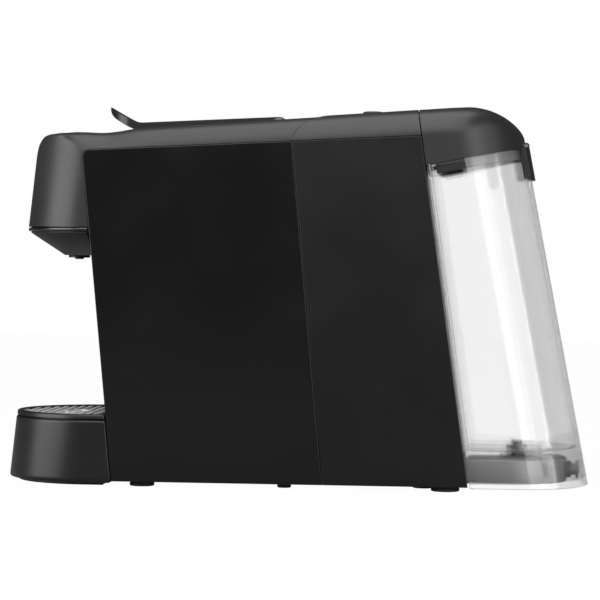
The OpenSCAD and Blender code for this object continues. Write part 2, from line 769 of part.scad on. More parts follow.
module button_left() color("#4c4d50") button(-1);
module button_right() color("#4c4d50") button(1);

module button_spring(side) translate([side * button_x, button_y, board_z]) difference() {
    cylinder(r = 5.2, h = crown_z - button_skirt - board_z - 0.05);
    translate([0, 0, -1]) cylinder(r = 4.5, h = 40);
}

module button_spring_left() color("#9ea0a2") button_spring(-1);
module button_spring_right() color("#9ea0a2") button_spring(1);

// ---------------------------------------------------------------- drip tray and drawer

tray_low = 2.2;

module tray_plan(inset) {
    circle(tray_r - inset);
    translate([-(tray_r - inset), 0]) square([2 * (tray_r - inset), 120]);
}

module tray_form(inset, z0, z1) {
    difference() {
        intersection() {
            translate([0, -tray_reach + tray_r / cos(nose_lean), 0]) rotate([-nose_lean, 0, 0])
                translate([0, 0, -30]) linear_extrude(120) tray_plan(inset);
            translate([-far / 2, -far, z0]) cube([far, 2 * far, z1 - z0]);
        }
        behind(-column_reach - slide_gap - inset, column_lean);
    }
}

module drip_tray() color("#2b2b2d") difference() {
    union() {
        tray_form(0, tray_low, tray_z);
        tray_form(6, 0.4, tray_low + 0.1);
    }
    tray_form(tray_wall, tray_low + 2.4, tray_z + 5);
    tray_form(9, -2, 1.4);
}

module grille_rim() color("#303033") difference() {
    union() {
        tray_form(0.3, tray_z + 0.5, grille_z);
        tray_form(tray_wall + slide_gap + 0.3, tray_z - 2.4, tray_z + 0.6);
    }
    tray_form(tray_wall + slide_gap + 1.6, tray_z - 5, grille_z + 5);
}

slat_z = [grille_z - 2.6, grille_z - 0.8];
rim_hole = tray_wall + slide_gap + 1.6;

module grille_slats() color("#a9abad") difference() {
    intersection() {
        union() {
            for (i = [0 : 13]) translate([-60, -190 + 2.6 + i * slat_pitch, slat_z[0]])
                cube([120, slat_w, slat_z[1] - slat_z[0]]);
            for (x = [-34, 0, 34]) translate([x - 1, -200, slat_z[0] - 1.6]) cube([2, 90, 2]);
            translate([0, spout_y, slat_z[0]]) cylinder(r = splash_r + 1.8, h = slat_z[1] - slat_z[0]);
        }
        tray_form(rim_hole, tray_z - 8, grille_z + 5);
    }
    translate([0, spout_y, 0]) cylinder(r = splash_r, h = 100);
}

bin_half = drawer_half - 2.5;
bin_z = [7.2, 98];
bin_wall = 2;
bin_set = wall_set + 0.2;

// Bin with its front plate, which closes the drawer opening above the tray.
module capsule_bin() color("#232325") {
    difference() {
        intersection() {
            translate([-bin_half, -far / 2, bin_z[0]]) cube([2 * bin_half, far, bin_z[1] - bin_z[0]]);
            behind(-column_reach + bin_set, column_lean);
            translate([-far / 2, -far, 0]) cube([far, far - column_reach + bin_len, far]);
        }
        intersection() {
            translate([-bin_half + bin_wall, -far / 2, bin_z[0] + bin_wall])
                cube([2 * (bin_half - bin_wall), far, far]);
            behind(-column_reach + bin_set + column_wall, column_lean);
            translate([-far / 2, -far, 0]) cube([far, far - column_reach + bin_len - bin_wall, far]);
        }
    }
    // front plate over the tray, and the block that meets the tray's back
    leaning_slab(-column_reach + bin_set, column_lean, column_wall, grille_z + 1,
                 drawer_z - slide_gap, drawer_half - slide_gap);
    leaning_slab(-column_reach - slide_gap + 0.02, column_lean, bin_set + slide_gap + column_wall, 8,
                 tray_z - 1, drawer_half - slide_gap);
}

// ---------------------------------------------------------------- tank and lid

tank_gap = 1.0;                         // air between the tank and the body
tank_half = half_w - 0.4;
tank_low = 2.6;
tank_tip = tank_reach * cos(tank_lean);

module tank_plan(inset) {
    translate([0, tank_tip - tank_nose]) mirror([0, 1, 0]) nose_plan(tank_half - inset, tank_nose - inset);
}

// Leaning D-shaped block behind the body, inset by a wall on the sides and back.
module tank_column(inset) {
    rotate([tank_lean, 0, 0]) translate([0, 0, -40]) linear_extrude(340)
        intersection() {
            tank_plan(inset);
            translate([-far / 2, -60]) square([far, far]);
        }
}

module under_rim(shift) {
    across(far) polygon([[-far, -50], [-far, rim_at(-far) + shift], [far, rim_at(far) + shift], [far, -50]]);
}

module tank_form(inset, front_inset) {
    intersection() {
        tank_column(inset);
        behind(back_reach + tank_gap + front_inset, back_lean);
    }
}

module tank() color([0.9, 0.93, 0.95, 0.35]) difference() {
    intersection() {
        tank_form(0, 0);
        under_rim(0);
        translate([-far / 2, -far / 2, tank_low]) cube([far, far, far]);
    }
    // water space
    intersection() {
        tank_form(tank_wall, tank_wall);
        translate([-far / 2, -far / 2, floor_z + floor_t]) cube([far, far, far]);
    }
    // space under the floor, open to the front for the shelf
    intersection() {
        tank_form(tank_wall, -10);
        translate([-far / 2, -far / 2, -10]) cube([far, far, floor_z + 10]);
    }
    translate([0, valve_y, 0]) cylinder(r = valve_r + 0.3, h = 60);
}

seal_t = 0.5;

module valve_poppet() color("#8e9092") translate([0, valve_y, floor_z]) {
    translate([0, 0, -1]) cylinder(r = valve_r, h = floor_t + 4.4);
    translate([0, 0, floor_t + seal_t + 0.1]) cylinder(r = 7.2, h = 0.8);
}

module valve_seal() color("#2a2a2b") translate([0, valve_y, floor_z + floor_t]) difference() {
    cylinder(r = 7, h = seal_t);
    translate([0, 0, -1]) cylinder(r = valve_r + 0.3, h = 4);
}

hinge_y = 150.8;
hinge_z = rim_at(hinge_y) + 2.6;
hinge_pin_r = 1.2;
knuckle_r = 2.2;
knuckle_half = 5.4;
ear_x = [5.8, 10.2];
clip_half = 20;
clip_t = 2;
clip_drop = 20;
clip_gap = 0.3;

module clip_shell(outer, inner) {
    difference() {
        tank_column(outer);
        tank_column(inner);
    }
}

// Bracket clipped over the tank's rear rim, carrying the lid's hinge.
module lid_hinge_clip() color("#3a3a3c") difference() {
    union() {
        difference() {
            intersection() {
                clip_shell(-clip_t - clip_gap, tank_wall + clip_gap + clip_t);
                clip_range();
            }
            // the rim itself, with its clearance
            intersection() {
                clip_shell(-clip_gap, tank_wall + clip_gap);
                under_rim(0.2);
            }
            // room for the lid's ears
            for (s = [-1, 1]) translate([s * (ear_x[0] + ear_x[1]) / 2 - 2.6, hinge_y - 3, rim_at(hinge_y) + 0.1])
                cube([5.2, 8, 10]);
        }
        translate([-knuckle_half, hinge_y, hinge_z]) rotate([0, 90, 0])
            cylinder(r = knuckle_r, h = 2 * knuckle_half);
        translate([-knuckle_half, hinge_y - knuckle_r, rim_at(hinge_y) + 0.6])
            cube([2 * knuckle_half, 2 * knuckle_r, hinge_z - rim_at(hinge_y) - 0.6]);
    }
    translate([-40, hinge_y, hinge_z]) rotate([0, 90, 0]) cylinder(r = hinge_pin_r, h = 80);
}

module clip_range() {
    intersection() {
        translate([-clip_half, 60, rim_at(hinge_y) - clip_drop]) cube([2 * clip_half, far, far]);
        under_rim(2);
    }
}

module lid_hinge_pin() color("#b4b6b8") translate([-ear_x[1] - 0.4, hinge_y, hinge_z]) rotate([0, 90, 0])
    cylinder(r = hinge_pin_r, h = 2 * ear_x[1] + 0.8);

lid_roll = 47;                          // radius of the lid's fall towards the back
lid_crest_y = 112;
lid_wall = 2.2;

// Side profile of the lid: sloping top, round fall to the rear lip, cut along the rim.
module lid_profile(inset) {
    crest_z = top_at(lid_crest_y);
    intersection() {
        polygon(concat([[40, 100], [lid_crest_y + lid_roll - inset, 100]],
                       arc(lid_crest_y, crest_z - lid_roll, lid_roll - inset, 0, 90 + top_slope, 16),
                       [[40, top_at(40) - inset]]));
        polygon([[0, rim_at(0)], [0, far], [300, far], [300, rim_at(300)]]);
    }
}

module lid_form(inset) {
    intersection() {
        rolled_block(inset);
        tank_column(inset);
        across(far) lid_profile(inset);
        behind(back_reach + lid_gap + inset, back_lean);
    }
}

module above_rim(shift) {
    across(far) polygon([[-far, rim_at(-far) + shift], [-far, far], [far, far], [far, rim_at(far) + shift]]);
}

module lid() color("#3a3a3d") difference() {
    union() {
        difference() {
            intersection() {
                lid_form(0);
                above_rim(0.5);
            }
            intersection() {
                lid_form(lid_wall);
                above_rim(-5);
            }
            // room for the clip's bridge, and for its knuckle
            intersection() {
                translate([-clip_half - 1, 100, 0]) cube([2 * clip_half + 2, 100, far]);
                under_rim(2.6);
            }
            translate([-ear_x[0], hinge_y - 5, hinge_z - 5]) cube([2 * ear_x[0], 12, 8]);
        }
        // hinge ears on the lid's rear wall
        for (s = [-1, 1]) translate([s > 0 ? ear_x[0] : -ear_x[1], 0, 0]) {
            translate([0, hinge_y, hinge_z]) rotate([0, 90, 0]) cylinder(r = knuckle_r, h = ear_x[1] - ear_x[0]);
            intersection() {
                translate([0, hinge_y - 5, hinge_z - 0.4]) cube([ear_x[1] - ear_x[0], 5, 7]);
                lid_form(0.3);
            }
        }
    }
    translate([-40, hinge_y, hinge_z]) rotate([0, 90, 0]) cylinder(r = hinge_pin_r + pin_gap, h = 80);
}

lip_drop = 6;
lip_front = 3;                          // extra room for the lip as the lid swings

module lid_liner() color("#2f2f31") difference() {
    union() {
        intersection() {
            lid_form(lid_wall + 0.1);
            above_rim(3);
            under_rim(5);
        }
        intersection() {
            tank_form(tank_wall + 0.8, tank_wall + lip_front);
            above_rim(-lip_drop);
            under_rim(4);
        }
    }
    intersection() {
        tank_form(tank_wall + 2.6, tank_wall + lip_front + 1.8);
        above_rim(-lip_drop - 5);
        under_rim(3);
    }
    translate([-clip_half - 1.5, 135, 100]) cube([2 * clip_half + 3, 60, 120 + rim_z]);
}

// ---------------------------------------------------------------- nodes

base_plate();
front_feet();
rear_feet();
middle_pads();
base_screws();
cable_gland();
front_panel_left();
front_panel_right();
rear_panel_left();
rear_panel_right();
front_wall();
rear_wall();
front_cover();
rear_cover();
head_trim_ring();
spout_funnel();
outlet_nozzle();
tank_shelf();
dock_socket();
plunger_guide();
mechanism_frame();
injector_head();
capsule_chute();
pump();
pump_mounts();
heater_block();
flow_meter();
water_hoses();
control_board();
lever();
lever_shaft();
lever_cranks();
brew_cup();
cup_rails();
button_left();
button_right();
button_spring_left();
button_spring_right();
drip_tray();
capsule_bin();
grille_rim();
grille_slats();
tank();
lid_hinge_clip();
lid();
lid_liner();
lid_hinge_pin();
valve_poppet();
valve_seal();
rear_plunger();
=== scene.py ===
"""A slim pod coffee machine: moulded covers, gloss side panels, a top lever, a drip tray with a
steel grille, and a clear water tank with a hinged lid. All sizes are in metres."""
import math

import bmesh
import bpy
import numpy as np
from bpy.props import FloatProperty, FloatVectorProperty, PointerProperty
from bpy.types import Operator, Panel, PropertyGroup
from mathutils import Matrix, Vector


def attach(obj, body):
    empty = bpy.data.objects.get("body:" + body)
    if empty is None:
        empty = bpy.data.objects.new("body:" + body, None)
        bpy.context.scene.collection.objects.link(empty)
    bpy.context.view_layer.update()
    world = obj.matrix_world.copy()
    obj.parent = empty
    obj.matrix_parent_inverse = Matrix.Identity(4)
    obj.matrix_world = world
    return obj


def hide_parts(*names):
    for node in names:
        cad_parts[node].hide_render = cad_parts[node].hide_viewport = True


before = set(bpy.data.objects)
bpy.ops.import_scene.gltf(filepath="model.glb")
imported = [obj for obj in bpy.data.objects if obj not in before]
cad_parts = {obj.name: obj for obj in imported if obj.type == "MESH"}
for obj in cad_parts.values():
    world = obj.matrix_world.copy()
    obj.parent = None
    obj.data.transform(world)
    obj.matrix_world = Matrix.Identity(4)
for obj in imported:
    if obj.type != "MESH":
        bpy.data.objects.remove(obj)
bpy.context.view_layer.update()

bl_info = {
    "name": "Pod Coffee Machine",
    "version": (1, 0, 0),
    "blender": (4, 5, 0),
    "location": "View3D > Sidebar > Coffee Machine",
    "description": "Builds a pod coffee machine with its materials, studio and camera",
    "category": "Object",
}

MM = 0.001
MERGE = 2e-6                    # points closer than this are one point
HALF_TURN = math.pi
SKIN_ANCHOR = 24 * MM           # depth under the top from which the covers' skins are shaped
SIDE_ZONE = 50 * MM             # past this half width a face belongs to the machine's side
CORNER_TOP = 215 * MM           # height of the panels' front corner
SEAM_TOP = 227 * MM             # height where the seam meets the panels' upper edge
BACK_TOP = 231 * MM             # height where the back edge meets the panels' upper edge
SEAM_FLAT = 42 * MM             # half width over which the covers' seam runs straight
SEAM_BACK = 20.3 * MM           # place of that straight stretch along Y
SHELF_TOP = 20.6 * MM           # top of the docking shelf
SHELF_BACK = 180.5 * MM         # rear of the docking shelf
PLUNGER_Z = 12.2 * MM           # height of the plunger's axis
BUTTON = {"x": 12 * MM, "y": 49 * MM, "radius": 6.7 * MM, "up": 2.4 * MM, "skirt": 6 * MM, "stem": 10 * MM}


# ---------------------------------------------------------------- sizes a user can change

def length(name, description, default, low=0.0, high=1.0):
    """A length property, stored in metres."""
    return FloatProperty(name=name, description=description, default=default, min=low, max=high,
                         unit="LENGTH", precision=4)


def angle(name, description, degrees):
    """An angle property, given in degrees and stored in radians."""
    return FloatProperty(name=name, description=description, default=math.radians(degrees),
                         subtype="ANGLE")


def colour(name, description, hexadecimal):
    """A colour property, given as an sRGB hex value and stored linear."""
    return FloatVectorProperty(name=name, description=description, default=linear(hexadecimal),
                               size=3, min=0.0, max=1.0, subtype="COLOR")


def linear(hexadecimal):
    """An sRGB hex colour such as '#1c1c1e' as linear red, green and blue."""
    values = [int(hexadecimal[i:i + 2], 16) / 255 for i in (1, 3, 5)]
    return tuple(v / 12.92 if v <= 0.04045 else ((v + 0.055) / 1.055) ** 2.4 for v in values)


class BodySizes(PropertyGroup):
    """Sizes of the body, its covers and its side panels."""
    half_width: length("Half width", "Half of the width over the side panels", 57.0 * MM)
    top_z: length("Top height", "Height of the top surface above the origin", 243.2 * MM)
    top_slope: angle("Top slope", "Slope of the top towards the tank", 3.9)
    roll: length("Edge roll", "Radius of the rolled top edge", 17.0 * MM)
    head_reach: length("Head reach", "Front of the head at its lower edge", 183.4 * MM)
    head_z: length("Head height", "Height of the head's underside", 170.0 * MM)
    head_round: length("Head rounding", "Rounding of the head's upper front corner", 18.5 * MM)
    nose_depth: length("Nose depth", "Depth of the rounded nose in plan", 48.0 * MM)
    nose_lean: angle("Nose lean", "Lean of the head's nose", 6.1)
    column_reach: length("Column reach", "Front edge of the side panels at the ground", 117.3 * MM)
    column_lean: angle("Column lean", "Lean of the column's front edge", 5.68)
    seam_reach: length("Seam reach", "Seam of the side panels at the ground", 21.2 * MM)
    seam_lean: angle("Seam lean", "Lean of the seam between the side panels", 5.7)
    back_reach: length("Back reach", "Back edge of the side panels at the ground", 115.8 * MM)
    back_lean: angle("Back lean", "Lean of the back edge against the tank", 8.2)
    panel_drop: length("Panel drop", "Panel edge below the top at the origin", 16.2 * MM)
    panel_slope: angle("Panel slope", "Slope of the panels' upper edge", 2.83)
    panel_corner: length("Panel corner", "Radius of the panels' front corner", 5.0 * MM)
    panel_wall: length("Panel thickness", "Thickness of the side panels", 2.2 * MM)
    cover_wall: length("Cover wall", "Wall of the moulded covers", 2.4 * MM)
    skirt_z: length("Skirt height", "Height of the panels' lower edge", 3.4 * MM)
    seam_gap: length("Seam gap", "Gap at the seams between fixed covers", 0.4 * MM)
    scoop_y: FloatProperty(name="Scoop place", description="Middle of the dip under the lever's tip",
                           default=-124.0 * MM, unit="LENGTH")
    scoop_depth: length("Scoop depth", "Depth of the dip under the lever's tip", 1.7 * MM)
    scoop_reach: length("Scoop reach", "Half length of the dip under the lever's tip", 23.0 * MM)


class LeverSizes(PropertyGroup):
    """Sizes of the lever."""
    width: length("Width", "Width of the lever", 50.0 * MM)
    thickness: length("Thickness", "Thickness of the lever's plate", 2.6 * MM)
    pivot_y: FloatProperty(name="Pivot", description="Place of the lever's pivot along Y",
                           default=-12.2 * MM, unit="LENGTH")
    pivot_drop: length("Pivot drop", "Depth of the pivot under the top surface", 3.4 * MM)
    barrel: length("Barrel", "Radius of the hinge barrel", 5.3 * MM)
    bore: length("Bore", "Radius of the bore for the lever's shaft", 2.5 * MM)
    bend_y: FloatProperty(name="Bend", description="Place of the bend along Y",
                          default=-104.5 * MM, unit="LENGTH")
    tip_y: FloatProperty(name="Tip", description="Place of the tip along Y",
                         default=-128.5 * MM, unit="LENGTH")
    tip_rise: length("Tip rise", "Rise of the tip above the bend", 11.4 * MM)
    flange: length("Flange", "Depth of the side walls under the plate at the bend", 3.5 * MM)


class TraySizes(PropertyGroup):
    """Sizes of the drip tray and its grille."""
    radius: length("Radius", "Radius of the tray's rounded front", 57.0 * MM)
    reach: length("Reach", "Front tip of the tray at the ground", 195.0 * MM)
    height: length("Height", "Top of the tray's tub", 43.0 * MM)
    wall: length("Wall", "Wall of the tray", 2.4 * MM)
    grille_z: length("Grille height", "Height of the grille's top", 47.0 * MM)
    pitch: length("Slat pitch", "Pitch of the grille's slats", 5.4 * MM)
    slat: length("Slat width", "Width of one slat", 2.9 * MM)
    hole: length("Hole", "Radius of the hole under the nozzle", 8.0 * MM)
    spout_y: FloatProperty(name="Spout", description="Place of the nozzle along Y",
                           default=-149.5 * MM, unit="LENGTH")


class TankSizes(PropertyGroup):
    """Sizes of the water tank, its lid and its valve."""
    half_width: length("Half width", "Half width of the tank", 56.6 * MM)
    reach: length("Reach", "Rear tip of the tank at the ground", 195.2 * MM)
    nose: length("Nose", "Depth of the rounded back in plan", 46.0 * MM)
    lean: angle("Lean", "Lean of the tank's rear wall", 11.1)
    wall: length("Wall", "Wall of the tank", 3.0 * MM)
    low: length("Lower edge", "Height of the tank's lower edge", 2.6 * MM)
    floor_z: length("Floor", "Underside of the tank's floor", 24.6 * MM)
    floor_t: length("Floor thickness", "Thickness of the tank's floor", 2.2 * MM)
    rim_z: length("Rim", "Height of the rim at the front", 211.4 * MM)
    rim_slope: angle("Rim slope", "Rise of the rim towards the back", 11.2)
    gap: length("Gap", "Air between the tank and the body", 1.0 * MM)
    lid_gap: length("Lid gap", "Gap between the lid and the rear cover", 0.7 * MM)
    lid_roll: length("Lid fall", "Radius of the lid's fall towards the back", 47.0 * MM)
    lid_crest: length("Lid crest", "Place where the lid begins to fall", 110.4 * MM)
    lid_wall: length("Lid wall", "Wall of the lid", 2.2 * MM)
    valve_y: length("Valve", "Place of the valve along Y", 147.0 * MM)
    hinge_y: length("Hinge", "Place of the lid's hinge along Y", 150.8 * MM)


class Finishes(PropertyGroup):
    """Colours of the machine's plastics and metals."""
    gloss: colour("Gloss panels", "Front side panels", "#0e0e10")
    matt: colour("Matt panels", "Rear side panels", "#0e0e10")
    satin: colour("Satin covers", "Head, top and lid", "#252526")
    tray: colour("Satin tray", "Drip tray and grille rim", "#131314")
    trim: colour("Trim", "Band under the head", "#4c4d50")
    steel: colour("Grille", "Slats of the grille", "#e2e3e4")
    cast: colour("Shelf", "Docking shelf and valve", "#767676")
    button: colour("Buttons", "Button caps", "#2b2b2e")


class Studio(PropertyGroup):
    """Camera and light."""
    azimuth: angle("Azimuth", "Direction of the view, 90 looks along -X", 94.5)
    elevation: angle("Elevation", "Height of the camera above the horizon", 1.0)
    roll: angle("Roll", "Tilt of the picture", 0.64)
    distance: length("Distance", "Distance from the camera to the aim", 1.682, high=9.0)
    lens: FloatProperty(name="Lens", description="Focal length in millimetres", default=150.0)
    aim_z: length("Aim height", "Height that the camera looks at", 122.745 * MM)
    aim_y: length("Aim", "Place along Y that the camera looks at", 0.632 * MM)
    ambient: FloatProperty(name="Ambient", description="Light from the room in reflections", default=0.07)
    through_tank: FloatProperty(name="Through tank", description="Brightness of the backdrop seen through "
                                "the tank's walls", default=1.05)


def body():
    """The scene's body sizes."""
    return bpy.context.scene.machine_body


def lever():
    """The scene's lever sizes."""
    return bpy.context.scene.machine_lever


def tray():
    """The scene's tray sizes."""
    return bpy.context.scene.machine_tray


def tank():
    """The scene's tank sizes."""
    return bpy.context.scene.machine_tank


def finishes():
    """The scene's colours."""
    return bpy.context.scene.machine_finishes


# ---------------------------------------------------------------- lines that the pieces share

def top_at(y):
    """Height of the sloping top surface."""
    return body().top_z + y * math.tan(body().top_slope)


def panel_top_at(y):
    """Height of the side panels' upper edge."""
    return body().top_z - body().panel_drop + y * math.tan(body().panel_slope)


def column_at(z):
    """Place of the column's front edge at a height."""
    return -body().column_reach - z * math.tan(body().column_lean)


def seam_at(z):
    """Place of the seam between the side panels at a height."""
    return body().seam_reach - z * math.tan(body().seam_lean)


def back_at(z):
    """Place of the panels' back edge at a height."""
    return body().back_reach - z * math.tan(body().back_lean)


def rim_at(y):
    """Height of the tank's sloping rim."""
    return tank().rim_z + (y - back_at(tank().rim_z)) * math.tan(tank().rim_slope)


class TubPlan:
    """Plan of a D-shaped tub. Its round end faces end (-1 front, 1 back) and leans with height."""

    def __init__(self, half, depth, end, reach, lean, flat, flat_lean, corner):
        self.half = half
        self.depth = depth
        self.end = end
        self.reach = reach
        self.lean = lean
        self.flat = flat
        self.flat_lean = flat_lean
        self.corner = corner

    def centre(self, z):
        """Where the round end begins at a height."""
        return self.end * (self.reach - self.depth / math.cos(self.lean) - z * math.tan(self.lean))

    def loop(self, inset, level, flat_inset=None, steps=56):
        """The outline, inset, at a height that is a number or a function of y."""
        half, depth = self.half - inset, self.depth - inset
        corner = max(self.corner - inset, 0.3 * MM)
        back = inset if flat_inset is None else flat_inset
        turn = np.linspace(0, HALF_TURN, steps + 1)
        quarter = np.linspace(0, HALF_TURN / 2, 5)
        across = np.linspace(-half + corner, half - corner, 9)[1:-1]
        x = np.concatenate([half * np.cos(turn), -half + corner * (1 - np.cos(quarter)), across,
                            half - corner * (1 - np.sin(quarter))])
        out = np.concatenate([depth / math.cos(self.lean) * np.sin(turn),
                              corner * (1 - np.sin(quarter)), np.zeros(len(across)),
                              corner * (1 - np.cos(quarter))])
        at_round = np.arange(len(x)) <= steps
        height = level if callable(level) else (lambda y: np.full(len(y), float(level)))
        z = height(np.zeros(len(x)))
        for _ in range(8):
            flat = self.flat - z * math.tan(self.flat_lean) + self.end * back
            y = np.where(at_round, self.centre(z), flat) + self.end * out
            z = height(y)
        return np.column_stack([x, y, z])


def head_plan():
    """Plan of the head, also used by the band and the funnel under it."""
    b = body()
    return TubPlan(b.half_width, b.nose_depth, -1, b.head_reach + b.head_z * math.tan(b.nose_lean),
                   b.nose_lean, -b.column_reach - 0.6 * MM, b.column_lean, 1.5 * MM)


def tray_plan():
    """Plan of the drip tray."""
    b, t = body(), tray()
    return TubPlan(t.radius, t.radius, -1, t.reach, b.nose_lean, -b.column_reach - 0.5 * MM,
                   b.column_lean, 1.2 * MM)


def tank_plan():
    """Plan of the water tank."""
    b, t = body(), tank()
    return TubPlan(t.half_width, t.nose, 1, t.reach, t.lean, b.back_reach + t.gap, b.back_lean,
                   3.5 * MM)


# ---------------------------------------------------------------- mesh making

def shade(obj, sharp=32):
    """Smooth shading that keeps every edge sharper than an angle in degrees."""
    obj.data.shade_smooth()
    obj.data.set_sharp_from_angle(angle=math.radians(sharp))


def piece_from(bm, name, material=None, sharp=32, outward=True):
    """Turns a bmesh into an object at the origin, with merged points and outward faces."""
    bmesh.ops.remove_doubles(bm, verts=bm.verts, dist=MERGE)
    if outward:
        bmesh.ops.recalc_face_normals(bm, faces=bm.faces)
    mesh = bpy.data.meshes.new(name)
    bm.to_mesh(mesh)
    bm.free()
    obj = bpy.data.objects.new(name, mesh)
    bpy.context.scene.collection.objects.link(obj)
    if material:
        mesh.materials.append(material)
    shade(obj, sharp)
    return obj


def baked(obj, sharp=32):
    """Replaces the object's mesh with the result of its modifiers. sharp=None keeps its normals."""
    graph = bpy.context.evaluated_depsgraph_get()
    mesh = bpy.data.meshes.new_from_object(obj.evaluated_get(graph), preserve_all_data_layers=True,
                                           depsgraph=graph)
    obj.modifiers.clear()
    obj.data = mesh
    if sharp is not None:
        shade(obj, sharp)
    return obj


def boolean(obj, cutter, operation="DIFFERENCE", sharp=32):
    """Cuts or joins another object, which is used up."""
    material = obj.data.materials[0] if obj.data.materials else None
    modifier = obj.modifiers.new("boolean", "BOOLEAN")
    modifier.operation = operation
    modifier.solver = "EXACT"
    modifier.object = cutter
    baked(obj, sharp)
    bpy.data.objects.remove(cutter)
    obj.data.materials.clear()
    if material:
        obj.data.materials.append(material)
    return obj


def eased(obj, width, segments=2, limit=35):
    """Rounds every edge sharper than limit degrees by width, and keeps the faces between flat."""
    modifier = obj.modifiers.new("ease", "BEVEL")
    modifier.width = width
    modifier.segments = segments
    modifier.limit_method = "ANGLE"
    modifier.angle_limit = math.radians(limit)
    modifier.use_clamp_overlap = True
    modifier.harden_normals = True
    return baked(obj, sharp=None)


def walled(obj, thickness, sharp=32):
    """Gives an open skin a wall on its inner side."""
    modifier = obj.modifiers.new("wall", "SOLIDIFY")
    modifier.thickness = thickness
    modifier.offset = -1
    modifier.use_even_offset = True
    modifier.use_rim = True
    return baked(obj, sharp)


def loft(name, loops, material=None, caps=True, ring=False, sharp=32):
    """Skins a stack of loops with the same number of points, closed at both ends or into a ring."""
    bm = bmesh.new()
    rows = [[bm.verts.new(p) for p in loop] for loop in loops]
    for low, high in zip(rows, rows[1:] + rows[:1] if ring else rows[1:]):
        for i in range(len(low)):
            j = (i + 1) % len(low)
            bm.faces.new((low[i], low[j], high[j], high[i]))
    if caps and not ring:
        bm.faces.new(rows[0])
        bm.faces.new(list(reversed(rows[-1])))
    return piece_from(bm, name, material, sharp)


def tub(name, plan, profile, material, ring=False, sharp=32):
    """Lofts a plan along a profile of (inset, level) pairs."""
    return loft(name, [plan.loop(inset, level) for inset, level in profile], material, ring=ring,
                sharp=sharp)


def lathe(name, profile, place, axis="Z", material=None, steps=48, sharp=32):
    """Turns a profile of (radius, height) pairs, closed or capped, round an axis through place."""
    bm = bmesh.new()
    turn = np.linspace(0, 2 * HALF_TURN, steps, endpoint=False)
    rows = []
    for radius, height in profile:
        ring = [Vector((radius * math.cos(a), radius * math.sin(a), height)) for a in turn]
        rows.append([bm.verts.new(p) for p in (ring if radius > MERGE else ring[:1])])
    for low, high in zip(rows, rows[1:]):
        for i in range(steps):
            j = (i + 1) % steps
            corners = [low[i % len(low)], low[j % len(low)], high[j % len(high)], high[i % len(high)]]
            unique = list(dict.fromkeys(corners))
            if len(unique) > 2:
                bm.faces.new(unique)
    closed = profile[0] == profile[-1]
    for row in () if closed else (rows[0], rows[-1]):
        if len(row) > 1:
            bm.faces.new(row)
    turned = {"Z": Matrix.Identity(4), "Y": Matrix.Rotation(-HALF_TURN / 2, 4, "X"),
              "X": Matrix.Rotation(HALF_TURN / 2, 4, "Y")}[axis]
    bm.transform(Matrix.Translation(place) @ turned)
    return piece_from(bm, name, material, sharp)


def block(name, low, high, material=None):
    """A plain block between two corners, for cutting or easing."""
    bm = bmesh.new()
    bmesh.ops.create_cube(bm, size=1)
    low, high = Vector(low), Vector(high)
    bm.transform(Matrix.Translation((low + high) / 2) @ Matrix.Diagonal((*(high - low), 1)))
    return piece_from(bm, name, material)


def plate(name, outline, x_low, x_high, material=None):
    """An outline in (y, z), drawn across the machine from x_low to x_high."""
    bm = bmesh.new()
    face = bm.faces.new([bm.verts.new((x_low, y, z)) for y, z in outline])
    made = bmesh.ops.extrude_face_region(bm, geom=[face])
    moved = [v for v in made["geom"] if isinstance(v, bmesh.types.BMVert)]
    bmesh.ops.translate(bm, verts=moved, vec=(x_high - x_low, 0, 0))
    return piece_from(bm, name, material)


def softened(node, name, width, material, limit=35):
    """A copy of a CAD node with its flat faces rejoined and its edges eased."""
    bm = bmesh.new()
    bm.from_mesh(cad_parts[node].data)
    bmesh.ops.remove_doubles(bm, verts=bm.verts, dist=MERGE)
    bmesh.ops.dissolve_limit(bm, angle_limit=math.radians(1), verts=bm.verts, edges=bm.edges)
    return eased(piece_from(bm, name, material, outward=False), width, limit=limit)


def placed(obj, body_name, slot, *nodes):
    """Puts a finished piece on its body and lets it stand for its CAD nodes."""
    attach(obj, body_name)
    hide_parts(*nodes)
    return obj


def trim(bm, planes, drop):
    """Cuts a skin along planes, then takes away the faces whose middle drop() refuses."""
    for point, normal, near in planes:
        faces = [f for f in bm.faces if near is None or near(f.calc_center_median())]
        edges = {e for f in faces for e in f.edges}
        verts = {v for f in faces for v in f.verts}
        bmesh.ops.bisect_plane(bm, geom=[*verts, *edges, *faces], dist=MERGE, plane_co=point,
                               plane_no=normal)
    refused = [f for f in bm.faces if drop(f.calc_center_median())]
    bmesh.ops.delete(bm, geom=refused, context="FACES")


# ---------------------------------------------------------------- the rolled skin of the covers

def corner_distance(a, b, radius, cosine=0.0):
    """Distance to a rounded corner of two planes, from the distances to each of them."""
    qa, qb = a + radius, b + radius
    sine2 = 1 - cosine ** 2
    reach = np.sqrt(np.maximum(qa ** 2 + qb ** 2 - 2 * qa * qb * cosine, 0) / sine2)
    in_corner = (qa > qb * cosine) & (qb > qa * cosine)
    return np.where(in_corner, reach, np.maximum(qa, qb)) - radius


def blended(a, b, width):
    """The larger of two distances, with the crease between them rounded."""
    h = np.maximum(width - np.abs(a - b), 0) / width
    return np.maximum(a, b) + h * h * width / 4


def over_top(p):
    """Distance above the sloping top with its dip under the lever's tip."""
    b = body()
    along = np.clip((p[:, 1] - b.scoop_y) / b.scoop_reach, -1, 1)
    dip = b.scoop_depth * np.cos(along * HALF_TURN / 2) ** 2
    height = b.top_z - dip + p[:, 1] * math.tan(b.top_slope)
    return (p[:, 2] - height) * math.cos(b.top_slope)


def over_roll(p):
    """Distance outside the rolled block under the top."""
    return corner_distance(np.abs(p[:, 0]) - body().half_width, over_top(p), body().roll)


